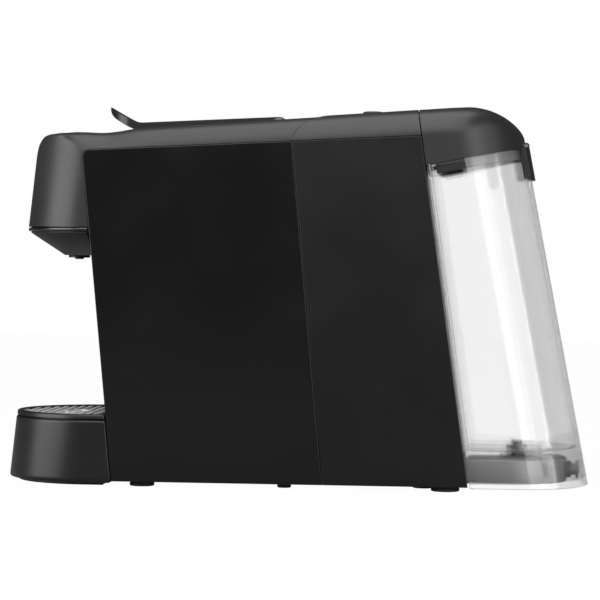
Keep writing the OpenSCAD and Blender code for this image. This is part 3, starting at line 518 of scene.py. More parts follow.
def over_round(x, out, half, depth):
    """Distance outside a plan with a half ellipse towards positive out."""
    k = np.hypot(x / half, out / depth) + 1e-9
    slope = np.hypot(x / half ** 2, out / depth ** 2) / k + 1e-9
    return np.where(out > 0, (k - 1) / slope, np.abs(x) - half)


def facing_end(x, out, half, depth):
    """How far a half ellipse's wall faces towards positive out, from 0 to 1."""
    across, along = np.abs(x) / half ** 2, np.maximum(out, 0) / depth ** 2
    return along / (np.hypot(across, along) + 1e-9)


def over_head(p):
    """Distance outside the head: rolled top, leaning nose and rounded front corner."""
    b = body()
    lean, slope = b.nose_lean, b.top_slope
    out = -((p[:, 1] + b.head_reach - b.nose_depth / math.cos(lean)) * math.cos(lean)
            - (p[:, 2] - b.head_z) * math.sin(lean))
    nose = over_round(p[:, 0], out, b.half_width, b.nose_depth)
    front = (-b.head_reach + (p[:, 2] - b.head_z) * math.tan(lean) - p[:, 1]) * math.cos(lean)
    profile = corner_distance(front, over_top(p), b.head_round, math.sin(lean + slope))
    return blended(blended(over_roll(p), nose, 1.4 * MM), profile, 3.0 * MM)


def over_lid(p):
    """Distance outside the lid: rolled top, the tank's leaning round back and the fall to it."""
    t = tank()
    out = (p[:, 1] - t.reach) * math.cos(t.lean) + p[:, 2] * math.sin(t.lean) + t.nose
    back = over_round(p[:, 0], out, t.half_width, t.nose)
    slope = body().top_slope
    centre_y = t.lid_crest + t.lid_roll * math.sin(slope)
    centre_z = top_at(t.lid_crest) - t.lid_roll * math.cos(slope)
    along, above = p[:, 1] - centre_y, p[:, 2] - centre_z
    reach = np.hypot(along, above) + 1e-9
    flat = (p[:, 2] - top_at(p[:, 1])) * math.cos(slope)
    falling = (along > -above * math.tan(slope)) & (above > 0)
    top = np.where(falling, reach - t.lid_roll, flat)
    end = facing_end(p[:, 0], out, t.half_width, t.nose)
    cosine = end * (math.cos(t.lean) * along + math.sin(t.lean) * above) / reach
    return corner_distance(back, top, body().roll, np.where(falling, np.clip(cosine, 0, 0.97), 0))


def march(outside, origins, directions):
    """Points where rays from inside a form leave it."""
    low = np.zeros(len(origins))
    high = np.full(len(origins), 0.2)
    for _ in range(26):
        middle = (low + high) / 2
        out = outside(origins + directions * middle[:, None]) > 0
        high = np.where(out, middle, high)
        low = np.where(out, low, middle)
    return origins + directions * low[:, None]


def capped_skin(outside, stations, low_z, anchor_drop, wall_rows, cap_rows):
    """An open cap over (y, direction) stations: walls up to an anchor height, then over the top."""
    bm = bmesh.new()
    rows = []
    for y, across, along in stations:
        anchor = top_at(y) - anchor_drop
        wall_z = np.linspace(low_z, anchor, wall_rows, endpoint=False)
        turn = np.linspace(0, HALF_TURN / 2, cap_rows + 1)
        origins = np.concatenate([
            np.column_stack([np.zeros(wall_rows), np.full(wall_rows, y), wall_z]),
            np.tile([0, y, anchor], (cap_rows + 1, 1))])
        level = np.concatenate([np.ones(wall_rows), np.cos(turn)])
        rise = np.concatenate([np.zeros(wall_rows), np.sin(turn)])
        directions = np.column_stack([across * level, along * level, rise])
        rows.append([bm.verts.new(p) for p in march(outside, origins, directions)])
    for left, right in zip(rows, rows[1:]):
        for i in range(len(left) - 1):
            bm.faces.new((left[i], left[i + 1], right[i + 1], right[i]))
    bmesh.ops.remove_doubles(bm, verts=bm.verts, dist=MERGE)
    bmesh.ops.dissolve_degenerate(bm, edges=bm.edges, dist=MERGE)
    return bm


def walk(y_open, y_turn, end, pitch, fan_steps):
    """Stations round a cap: along one side, round the end and back along the other side."""
    count = max(2, round(abs(y_turn - y_open) / pitch))
    straight = np.linspace(y_open, y_turn, count + 1)
    stations = [(y, 1.0, 0.0) for y in straight[:-1]]
    for a in np.linspace(0, HALF_TURN, fan_steps + 1):
        stations.append((y_turn, math.cos(a), end * math.sin(a)))
    stations += [(y, -1.0, 0.0) for y in straight[-2::-1]]
    return stations


def strip_skin(outside, places, anchor_drop, rows_across):
    """An open arch over the machine at a row of places along Y."""
    bm = bmesh.new()
    turn = np.linspace(-0.1, HALF_TURN + 0.1, rows_across + 1)
    rows = []
    for y in places:
        origins = np.tile([0, y, top_at(y) - anchor_drop], (len(turn), 1))
        directions = np.column_stack([np.cos(turn), np.zeros(len(turn)), np.sin(turn)])
        rows.append([bm.verts.new(p) for p in march(outside, origins, directions)])
    for left, right in zip(rows, rows[1:]):
        for i in range(len(left) - 1):
            bm.faces.new((left[i], left[i + 1], right[i + 1], right[i]))
    return bm


def facing_out(bm):
    """Turns a skin's faces so that its top looks up."""
    bmesh.ops.recalc_face_normals(bm, faces=bm.faces)
    top = max(bm.faces, key=lambda f: f.calc_center_median().z)
    if top.normal.z < 0:
        bmesh.ops.reverse_faces(bm, faces=bm.faces)


def corner_of_panels():
    """Centre (y, z) of the rounding at the front panels' upper corner."""
    b = body()
    y = column_at(CORNER_TOP) + b.panel_corner / math.cos(b.column_lean)
    return y, panel_top_at(y) - b.panel_corner / math.cos(b.panel_slope)


def front_panel_line(grow=0.0):
    """Outline of a front side panel in (y, z), widened towards the front and top."""
    b = body()
    y, z = corner_of_panels()
    radius = b.panel_corner + grow
    turn = np.linspace(HALF_TURN + b.column_lean, HALF_TURN / 2 + b.panel_slope, 10)
    top = panel_top_at(seam_at(SEAM_TOP)) + grow
    return ([(seam_at(b.skirt_z) - b.seam_gap / 2, b.skirt_z), (column_at(b.skirt_z) - grow, b.skirt_z)]
            + [(y + radius * math.cos(a), z + radius * math.sin(a)) for a in turn]
            + [(seam_at(SEAM_TOP) - b.seam_gap / 2, top)])


def rear_panel_line():
    """Outline of a rear side panel in (y, z)."""
    b = body()
    return [(seam_at(b.skirt_z) + b.seam_gap / 2, b.skirt_z),
            (seam_at(SEAM_TOP) + b.seam_gap / 2, panel_top_at(seam_at(SEAM_TOP))),
            (back_at(BACK_TOP), panel_top_at(back_at(BACK_TOP))),
            (back_at(b.skirt_z), b.skirt_z)]


def seam_y(x, shift):
    """Seam between the two covers: straight over the top, then slanting over the rolls."""
    share = max(0.0, (abs(x) - SEAM_FLAT) / (body().half_width - SEAM_FLAT))
    return SEAM_BACK + (seam_at(SEAM_TOP) - SEAM_BACK) * share + shift


def seam_planes(shift):
    """Cutting planes along the seam, each with the faces that it may cut."""
    half = body().half_width
    planes = [(Vector((0, seam_y(0, shift), 0)), Vector((0, 1, 0)), None)]
    for side in (-1, 1):
        start = Vector((side * SEAM_FLAT, seam_y(SEAM_FLAT, shift), 0))
        run = Vector((side * half, seam_y(half, shift), 0)) - start
        planes.append((start, run.cross(Vector((0, 0, 1))).normalized(),
                       lambda c, s=side: s * c.x > SEAM_FLAT - 4 * MM))
    return planes


def panel_cut(grow):
    """Planes along the panels' upper front outline, and a test for what lies behind them."""
    b = body()
    y, z = corner_of_panels()
    radius = b.panel_corner + grow
    planes = []
    turns = np.linspace(HALF_TURN + b.column_lean, HALF_TURN / 2 + b.panel_slope, 8)
    for i, a in enumerate(turns):
        out = Vector((0, math.cos(a), math.sin(a)))
        edge = Vector((0, y, z)) + out * radius
        near_corner = None if i in (0, len(turns) - 1) else (
            lambda c, e=edge: (c - Vector((c.x, e.y, e.z))).length < 12 * MM)
        planes.append((edge, out, near_corner or (lambda c: abs(c.x) > SIDE_ZONE)))

    def behind(c):
        return abs(c.x) > SIDE_ZONE and all((c - Vector((c.x, e.y, e.z))).dot(n) < 0
                                            for e, n, _ in planes)
    return planes, behind


def solid_hull(name, points, material=None):
    """The smallest solid round some points."""
    bm = bmesh.new()
    for p in points:
        bm.verts.new(p)
    hull = bmesh.ops.convex_hull(bm, input=bm.verts)
    bmesh.ops.delete(bm, geom=[v for v in hull["geom_interior"] if isinstance(v, bmesh.types.BMVert)],
                     context="VERTS")
    return piece_from(bm, name, material)


def merged(objects, name):
    """One object with the meshes of several, and their materials."""
    bm = bmesh.new()
    materials = []
    for obj in objects:
        start = len(bm.faces)
        bm.from_mesh(obj.data)
        bm.faces.ensure_lookup_table()
        for face in bm.faces[start:]:
            material = obj.data.materials[face.material_index] if obj.data.materials else None
            if material not in materials:
                materials.append(material)
            face.material_index = materials.index(material)
    mesh = bpy.data.meshes.new(name)
    bm.to_mesh(mesh)
    bm.free()
    for material in materials:
        mesh.materials.append(material)
    made = bpy.data.objects.new(name, mesh)
    bpy.context.scene.collection.objects.link(made)
    for obj in objects:
        bpy.data.objects.remove(obj)
    shade(made)
    return made


# ---------------------------------------------------------------- repeated pieces

def repeater(name, template, places, material, spin=False):
    """Instances of a template on a row of places, made with geometry nodes and then kept as a mesh."""
    tree = bpy.data.node_groups.new(name, "GeometryNodeTree")
    tree.interface.new_socket("Geometry", in_out="INPUT", socket_type="NodeSocketGeometry")
    tree.interface.new_socket("Template", in_out="INPUT", socket_type="NodeSocketObject")
    tree.interface.new_socket("Material", in_out="INPUT", socket_type="NodeSocketMaterial")
    tree.interface.new_socket("Geometry", in_out="OUTPUT", socket_type="NodeSocketGeometry")
    start = tree.nodes.new("NodeGroupInput")
    source = shader_node(tree, "GeometryNodeObjectInfo", {"Object": start.outputs["Template"]})
    copies = shader_node(tree, "GeometryNodeInstanceOnPoints", {
        "Points": start.outputs["Geometry"], "Instance": source.outputs["Geometry"]})
    if spin:
        away = shader_node(tree, "GeometryNodeInputPosition")
        turned = shader_node(tree, "FunctionNodeAlignEulerToVector",
                             {"Vector": away.outputs["Position"]}, axis="X", pivot_axis="Z")
        tree.links.new(turned.outputs["Rotation"], copies.inputs["Rotation"])
    real = shader_node(tree, "GeometryNodeRealizeInstances", {"Geometry": copies.outputs["Instances"]})
    finish = shader_node(tree, "GeometryNodeSetMaterial", {
        "Geometry": real.outputs["Geometry"], "Material": start.outputs["Material"]})
    end = tree.nodes.new("NodeGroupOutput")
    tree.links.new(finish.outputs["Geometry"], end.inputs["Geometry"])

    mesh = bpy.data.meshes.new(name)
    mesh.from_pydata([tuple(p) for p in places], [], [])
    obj = bpy.data.objects.new(name, mesh)
    bpy.context.scene.collection.objects.link(obj)
    modifier = obj.modifiers.new("repeat", "NODES")
    modifier.node_group = tree
    named = {item.name: item.identifier for item in tree.interface.items_tree
             if item.in_out == "INPUT"}
    modifier[named["Template"]] = template
    modifier[named["Material"]] = material
    obj.update_tag()
    baked(obj)
    obj.data.materials.clear()
    obj.data.materials.append(material)
    bpy.data.objects.remove(template)
    if not obj.data.polygons:
        raise RuntimeError(f"{name} came out empty")
    return obj


# ---------------------------------------------------------------- materials

def shader_node(tree, kind, sockets=None, **settings):
    """Adds a node, with a constant or a link on each of its named inputs."""
    made = tree.nodes.new(kind)
    for key, value in settings.items():
        setattr(made, key, value)
    for key, value in (sockets or {}).items():
        if isinstance(value, bpy.types.NodeSocket):
            tree.links.new(value, made.inputs[key])
        else:
            made.inputs[key].default_value = value
    return made


def blank(name):
    """A new material with only an output, and its object coordinates."""
    material = bpy.data.materials.new(name)
    material.use_nodes = True
    tree = material.node_tree
    tree.nodes.clear()
    output = tree.nodes.new("ShaderNodeOutputMaterial")
    coords = tree.nodes.new("ShaderNodeTexCoord").outputs["Object"]
    return material, tree, output.inputs["Surface"], coords


def varied(tree, coords, size, low, high, detail=2.0):
    """A value that drifts between low and high over patches of a size."""
    noise = shader_node(tree, "ShaderNodeTexNoise", {"Vector": coords, "Scale": 1 / size, "Detail": detail})
    return shader_node(tree, "ShaderNodeMapRange", {
        "Value": noise.outputs["Fac"], "From Min": 0.3, "From Max": 0.7, "To Min": low,
        "To Max": high}).outputs["Result"]


def moulded(name, tint, rough, grain=0.35 * MM, depth=0.004 * MM, flow=45 * MM, spread=0.03, ior=1.5):
    """Moulded plastic: eroded grain of the tool in the relief, faint flow marks in the gloss."""
    material, tree, surface, coords = blank(name)
    grain_map = shader_node(tree, "ShaderNodeTexNoise", {"Vector": coords, "Scale": 1 / grain, "Detail": 3.0})
    relief = shader_node(tree, "ShaderNodeBump", {
        "Height": grain_map.outputs["Fac"], "Distance": depth, "Strength": 1.0})
    tone = shader_node(tree, "ShaderNodeVectorMath", {
        0: (*tint,), "Scale": varied(tree, coords, flow, 0.94, 1.06)}, operation="SCALE")
    shader = shader_node(tree, "ShaderNodeBsdfPrincipled", {
        "Base Color": tone.outputs["Vector"], "IOR": ior,
        "Roughness": varied(tree, coords, flow, rough - spread, rough + spread),
        "Normal": relief.outputs["Normal"]})
    tree.links.new(shader.outputs["BSDF"], surface)
    return material


def metal(name, tint, rough, grain=(0.25 * MM, 6 * MM, 0.25 * MM), depth=0.003 * MM, metallic=1.0):
    """Brushed or blasted metal: fine scratches along Y in the relief and the gloss."""
    material, tree, surface, coords = blank(name)
    stretched = shader_node(tree, "ShaderNodeVectorMath", {
        0: coords, 1: tuple(1 / g for g in grain)}, operation="MULTIPLY")
    lines = shader_node(tree, "ShaderNodeTexNoise", {"Vector": stretched.outputs["Vector"], "Scale": 1.0,
                                                     "Detail": 3.0})
    relief = shader_node(tree, "ShaderNodeBump", {
        "Height": lines.outputs["Fac"], "Distance": depth, "Strength": 1.0})
    gloss = shader_node(tree, "ShaderNodeMapRange", {
        "Value": lines.outputs["Fac"], "To Min": rough * 0.7, "To Max": rough * 1.3})
    shader = shader_node(tree, "ShaderNodeBsdfPrincipled", {
        "Base Color": (*tint, 1), "Metallic": metallic, "Roughness": gloss.outputs["Result"],
        "Normal": relief.outputs["Normal"]})
    tree.links.new(shader.outputs["BSDF"], surface)
    return material


def clear(name, tint, rough, plain=0.5, ior=1.5):
    """Clear moulded polymer. plain is the share of light that passes without being bent."""
    material, tree, surface, coords = blank(name)
    waves = shader_node(tree, "ShaderNodeTexNoise", {"Vector": coords, "Scale": 1 / (30 * MM),
                                                     "Detail": 1.0})
    relief = shader_node(tree, "ShaderNodeBump", {
        "Height": waves.outputs["Fac"], "Distance": 0.05 * MM, "Strength": 1.0})
    bent = shader_node(tree, "ShaderNodeBsdfPrincipled", {
        "Base Color": (*tint, 1), "Roughness": rough, "IOR": ior, "Transmission Weight": 1.0,
        "Normal": relief.outputs["Normal"]})
    through = shader_node(tree, "ShaderNodeBsdfTransparent", {"Color": (*tint, 1)})
    rays = shader_node(tree, "ShaderNodeLightPath")
    straight = shader_node(tree, "ShaderNodeMath", {0: rays.outputs["Is Shadow Ray"], 1: plain},
                           operation="MAXIMUM")
    both = shader_node(tree, "ShaderNodeMixShader", {
        0: straight.outputs[0], 1: bent.outputs["BSDF"], 2: through.outputs["BSDF"]})
    tree.links.new(both.outputs["Shader"], surface)
    return material


MADE = {}


def finish(name):
    """The material with a slot's name."""
    return MADE[name]


class MACHINE_OT_finishes(Operator):
    """Makes every material of the machine"""
    bl_idname = "machine.finishes"
    bl_label = "Finishes"

    def execute(self, context):
        f = finishes()
        MADE.update({
            # polished injection-moulded ABS side skins
            "gloss_black_panel": moulded("gloss_black_panel", f.gloss, 0.2, depth=0.0015 * MM),
            # spark-eroded ABS, a little rougher to the touch
            "matt_black_panel": moulded("matt_black_panel", f.matt, 0.32, depth=0.008 * MM),
            # satin ABS covers, as moulded
            "satin_black_cover": moulded("satin_black_cover", f.satin, 0.4),
            # satin polypropylene tray
            "satin_black_tray": moulded("satin_black_tray", f.tray, 0.34),
            # plain dark polyamide of inner and lower pieces
            "dark_plastic": moulded("dark_plastic", linear("#1a1a1c"), 0.42, depth=0.01 * MM),
            # glass-filled nylon lever with a polished tool
            "lever_black": moulded("lever_black", linear("#18181a"), 0.34),
            # vacuum-metallised trim band
            "bright_trim": metal("bright_trim", f.trim, 0.28),
            # brushed stainless slats
            "brushed_steel": metal("brushed_steel", f.steel, 0.5, grain=(6 * MM, 0.25 * MM, 0.25 * MM),
                                   metallic=0.35),
            # bead-blasted zinc casting
            "cast_grey": metal("cast_grey", f.cast, 0.42, grain=(0.5 * MM, 0.5 * MM, 0.5 * MM)),
            # clear copolyester tank
            "clear_tank": clear("clear_tank", linear("#fbfbfb"), 0.015),
            # natural vulcanised rubber feet and seals
            "rubber_black": moulded("rubber_black", linear("#202021"), 0.6, grain=0.8 * MM, depth=0.02 * MM),
            # translucent silicone hose
            "hose_silicone": moulded("hose_silicone", linear("#cfccc4"), 0.45),
            # zinc-plated steel
            "steel_fastener": metal("steel_fastener", linear("#b9bbbe"), 0.3),
            # solder-masked laminate
            "board_green": moulded("board_green", linear("#1f4a36"), 0.35),
            # soft-touch caps
            "button_grey": moulded("button_grey", f.button, 0.45),
            # varnished coil housing
            "pump_body": moulded("pump_body", linear("#a09a8c"), 0.5, grain=1.2 * MM, depth=0.03 * MM),
            # black polypropylene front of the lid's inner lip
            "lip_black": moulded("lip_black", linear("#0b0b0c"), 0.4),
            # frosted copolyester rear of the same lip
            "frosted_lip": clear("frosted_lip", linear("#d9dadb"), 0.35, plain=0.3),
        })
        return {"FINISHED"}


# ---------------------------------------------------------------- head

class MACHINE_OT_head(Operator):
    """Builds the head's cover, the bright band under it, the funnel and the nozzle"""
    bl_idname = "machine.head"
    bl_label = "Head"

    def cover(self):
        b, v = body(), lever()
        stations = walk(24 * MM, -132 * MM, -1, 2.4 * MM, 64)
        bm = capped_skin(over_head, stations, b.head_z, SKIN_ANCHOR, 18, 44)
        planes, under_panels = panel_cut(b.seam_gap)
        shift = -b.seam_gap / 2
        trim(bm, [*planes, *seam_planes(shift)],
             lambda c: under_panels(c) or c.y > seam_y(c.x, shift))
        facing_out(bm)
        obj = piece_from(bm, "head_cover", finish("satin_black_cover"), outward=False)
        walled(obj, b.cover_wall)
        half = v.width / 2 + 1.5 * MM
        recess = block("recess", (-half, -128 * MM, -1.2 * MM), (half, v.pivot_y + 8 * MM, 20 * MM))
        recess.data.transform(Matrix.Translation((0, 0, b.top_z)) @ Matrix.Rotation(b.top_slope, 4, "X"))
        boolean(obj, recess)
        boolean(obj, block("slot", (-19 * MM, -118.5 * MM, 0.2), (19 * MM, -91.5 * MM, 0.26)))
        pivot_z = top_at(v.pivot_y) - v.pivot_drop
        room = v.barrel + 1.2 * MM
        boolean(obj, block("pocket", (-29.5 * MM, v.pivot_y - room, pivot_z - 12 * MM),
                           (29.5 * MM, v.pivot_y + room, 0.26)))
        placed(obj, "body", "satin_black_cover", "front_cover")

    def band(self):
        b = body()
        low, high = b.head_z - 3 * MM, b.head_z - b.seam_gap
        middle = (low + high) / 2
        profile = [(1.3 * MM, low), (0.7 * MM, low + 0.25 * MM), (0.36 * MM, low + 0.75 * MM),
                   (0.3 * MM, middle), (0.36 * MM, high - 0.75 * MM), (0.7 * MM, high - 0.25 * MM),
                   (1.3 * MM, high), (b.cover_wall + 0.1 * MM, high),
                   (b.cover_wall + 0.1 * MM, high + 3 * MM), (4 * MM, high + 3 * MM), (4 * MM, low)]
        obj = tub("head_band", head_plan(), profile, finish("bright_trim"), ring=True, sharp=50)
        placed(obj, "body", "bright_trim", "head_trim_ring")

    def funnel(self):
        b, spout = body(), tray().spout_y
        plan, top, low = head_plan(), b.head_z - 3.05 * MM, 151.2 * MM

        def mouth(half, front, back, z):
            """Corners of a flat rectangle round the spout."""
            return [(s * half, y, z) for s in (-1, 1) for y in (spout - front, spout + back)]

        shell = solid_hull("spout_funnel_shell", [*plan.loop(2.4 * MM, top), *plan.loop(2.4 * MM, top - MM),
                                                  *mouth(13 * MM, 7.6 * MM, 11.4 * MM, low)])
        shell.data.materials.append(finish("dark_plastic"))
        eased(shell, 0.5 * MM, limit=30)
        bore = solid_hull("bore", [*plan.loop(5 * MM, top + 2 * MM), *plan.loop(5 * MM, top - 0.5 * MM),
                                   *mouth(9 * MM, 4.6 * MM, 7.4 * MM, low + 1.8 * MM)])
        boolean(shell, bore)
        boolean(shell, lathe("drain", [(4 * MM, low - 5 * MM), (4 * MM, low + 5 * MM)], (0, spout, 0)))
        placed(shell, "body", "dark_plastic", "spout_funnel")

    def nozzle(self):
        profile = [(1.6, 153.6), (3.95, 153.6), (3.95, 151.2), (6.9, 151.2), (7.2, 150.9), (7.2, 149.9),
                   (6.9, 149.6), (3.2, 149.6), (3.0, 149.4), (3.0, 148.8), (2.8, 148.6), (1.6, 148.6)]
        profile = [(radius * MM, height * MM) for radius, height in profile]
        obj = lathe("outlet_tip", [*profile, profile[0]], (0, tray().spout_y, 0),
                    material=finish("dark_plastic"))
        placed(obj, "body", "dark_plastic", "outlet_nozzle")

    def execute(self, context):
        self.cover()
        self.band()
        self.funnel()
        self.nozzle()
        return {"FINISHED"}


# ---------------------------------------------------------------- side panels, walls and base

class MACHINE_OT_panels(Operator):
    """Builds the four side panels with eased edges"""
    bl_idname = "machine.panels"
    bl_label = "Side panels"

    def execute(self, context):
        b = body()
        for side, word in ((-1, "left"), (1, "right")):
            faces = sorted((side * (b.half_width - b.panel_wall), side * b.half_width))
            for part, outline, slot in (("front", front_panel_line(), "gloss_black_panel"),
                                        ("rear", rear_panel_line(), "matt_black_panel")):
                obj = plate(f"{part}_skin_{word}", outline, *faces, finish(slot))
                eased(obj, 0.45 * MM, segments=3)
                placed(obj, "body", slot, f"{part}_panel_{word}")
        return {"FINISHED"}


class MACHINE_OT_base(Operator):
    """Builds the walls, the base plate, the feet, the screws and the cable gland"""
    bl_idname = "machine.base"
    bl_label = "Base"

    def feet(self, name, place_y, radius, low):
        top = body().skirt_z
        made = []
        for x in (-44 * MM, 44 * MM):
            profile = [(0, low), (radius - 0.8 * MM, low), (radius - 0.2 * MM, low + 0.3 * MM),
                       (radius, low + 0.8 * MM), (radius - 0.1 * MM, low + 2.0 * MM),
                       (radius - 0.4 * MM, low + 2.2 * MM), (radius - 1.4 * MM, low + 2.2 * MM),
                       (radius - 1.4 * MM, top), (0, top)]
            made.append(lathe("foot", profile, (x, place_y, 0), material=finish("rubber_black")))
        placed(merged(made, name + "_soft"), "body", "rubber_black", name)

    def screws(self):
        spots = [(-30, 40), (30, 40), (-40, 88), (-36, 3), (36, 3), (18, 104)]
        top = body().skirt_z
        head = [(0, top - 0.9 * MM), (1.3 * MM, top - 0.9 * MM), (1.5 * MM, top - 1.4 * MM),
                (2.6 * MM, top - 1.4 * MM), (3.2 * MM, top - 0.9 * MM), (3.2 * MM, top), (1.6 * MM, top),
                (1.6 * MM, top + 7.6 * MM), (0, top + 7.6 * MM)]
        screw = lathe("screw", head, (0, 0, 0), steps=20)
        obj = repeater("base_screw_set", screw, [(x * MM, y * MM, 0) for x, y in spots],
                       finish("steel_fastener"))
        placed(obj, "body", "steel_fastener", "base_screws")

    def execute(self, context):
        for node, name, width in (("front_wall", "front_wall_skin", 0.3 * MM),
                                  ("rear_wall", "rear_wall_skin", 0.3 * MM),
                                  ("base_plate", "base_tray", 0.4 * MM),
                                  ("cable_gland", "gland_bush", 0.4 * MM)):
            slot = "rubber_black" if node == "cable_gland" else "dark_plastic"
            placed(softened(node, name, width, finish(slot)), "body", slot, node)
        self.feet("front_feet", -99 * MM, 8.2 * MM, 0)
        self.feet("rear_feet", 100.5 * MM, 9.4 * MM, 0)
        self.feet("middle_pads", -5 * MM, 4.6 * MM, 0.4 * MM)
        self.screws()
        return {"FINISHED"}


# ---------------------------------------------------------------- top: rear cover and buttons

class MACHINE_OT_top(Operator):
    """Builds the rear cover and its two buttons"""
    bl_idname = "machine.top"
    bl_label = "Top"

    def execute(self, context):
        b = body()
        places = np.linspace(-6 * MM, 96 * MM, 44)
        bm = strip_skin(over_roll, places, SKIN_ANCHOR, 96)
        shift = b.seam_gap / 2
        edge = panel_top_at(0) + b.seam_gap
        rise = Vector((0, -math.sin(b.panel_slope), math.cos(b.panel_slope)))
        back = Vector((0, b.back_reach, 0))
        lean = Vector((0, math.cos(b.back_lean), math.sin(b.back_lean)))
        trim(bm, [*seam_planes(shift), (Vector((0, 0, edge)), rise, None), (back, lean, None)],
             lambda c: (c.y < seam_y(c.x, shift) or (c - Vector((0, 0, edge))).dot(rise) < 0
                        or (c - back).dot(lean) > 0))
        facing_out(bm)
        obj = piece_from(bm, "rear_top_cover", finish("satin_black_cover"), outward=False)
        walled(obj, b.cover_wall)
        radius = BUTTON["radius"]
        crown = top_at(BUTTON["y"]) + BUTTON["up"]
        skirt, stem = crown - BUTTON["skirt"], crown - BUTTON["stem"]
        profile = [(0, crown), (radius - 1.4 * MM, crown - 0.06 * MM), (radius - 0.5 * MM, crown - 0.3 * MM),
                   (radius, crown - 0.9 * MM), (radius, skirt), (2 * MM, skirt), (2 * MM, stem), (0, stem)]
        for side, word in ((-1, "left"), (1, "right")):
            place = (side * BUTTON["x"], BUTTON["y"], 0)
            boolean(obj, lathe("hole", [(radius + 0.25 * MM, 0.2), (radius + 0.25 * MM, 0.28)], place))
            cap = lathe(f"button_cap_{word}", profile, place, material=finish("button_grey"))
            placed(cap, f"{word}_button", "button_grey", f"button_{word}")
        placed(obj, "body", "satin_black_cover", "rear_cover")
        return {"FINISHED"}


# ---------------------------------------------------------------- lever

class MACHINE_OT_lever(Operator):
    """Builds the lever with its turned-up tip, side flanges and barrel"""
    bl_idname = "machine.lever"
    bl_label = "Lever"

    def execute(self, context):
        v = lever()
        half = v.width / 2
        pivot_z = top_at(v.pivot_y) - v.pivot_drop

        def crest(y):
            """Height of the plate's upper face up to the bend."""
            return top_at(y) + 2.0 * MM + 1.9 * MM * (y - v.pivot_y) / (v.bend_y - v.pivot_y)

        def blade(share):
            """A point on the upper face between the bend and the tip."""
            return (v.bend_y + share * (v.tip_y - v.bend_y),
                    crest(v.bend_y) + v.tip_rise * share ** 1.45)

        def depth(y):
            """Depth of the side walls: shallow at the barrel, deepest at the bend, round at the tip."""
            share = (y - v.pivot_y) / (v.tip_y - v.pivot_y)
            full = v.thickness + v.flange * min(share / 0.75, (1.35 - share) / 0.6)
            nose = max(0.0, (share - 0.95) / 0.05)
            return full * math.sqrt(max(1 - nose ** 2, 0.02))

        upper = [(y, crest(y)) for y in np.linspace(v.pivot_y, v.bend_y, 24)]
        upper += [blade(s) for s in np.linspace(0.04, 1, 28)]
        lower = [(y, z - depth(y)) for y, z in reversed(upper)]
        obj = plate("lever_plate", upper + lower, -half, half, finish("lever_black"))
        turn = np.linspace(HALF_TURN, 2 * HALF_TURN, 40)
        bow = 18 * MM
        curve = [(half * math.cos(a), v.tip_y + bow + bow * math.sin(a)) for a in turn]
        outline = [(-half, 0.0), *curve, (half, 0.0)]
        boolean(obj, loft("plan", [[(x, y, z) for x, y in outline] for z in (0.18, 0.28)]), "INTERSECT")
        under = [(y, z - v.thickness) for y, z in upper if -108 * MM < y < -24 * MM]
        hollow = under + [(y, z - 12 * MM) for y, z in reversed(under)]
        wall = half - 2.2 * MM
        boolean(obj, plate("hollow", hollow, -wall, wall))
        boolean(obj, lathe("barrel", [(v.barrel, -half), (v.barrel, half)], (0, v.pivot_y, pivot_z),
                           axis="X"), "UNION")
        boolean(obj, lathe("bore", [(v.bore, -40 * MM), (v.bore, 40 * MM)], (0, v.pivot_y, pivot_z),
                           axis="X"))
        eased(obj, 0.45 * MM, limit=40)
        placed(obj, "lever_group", "lever_black", "lever")
        return {"FINISHED"}


# ---------------------------------------------------------------- drip tray and capsule drawer

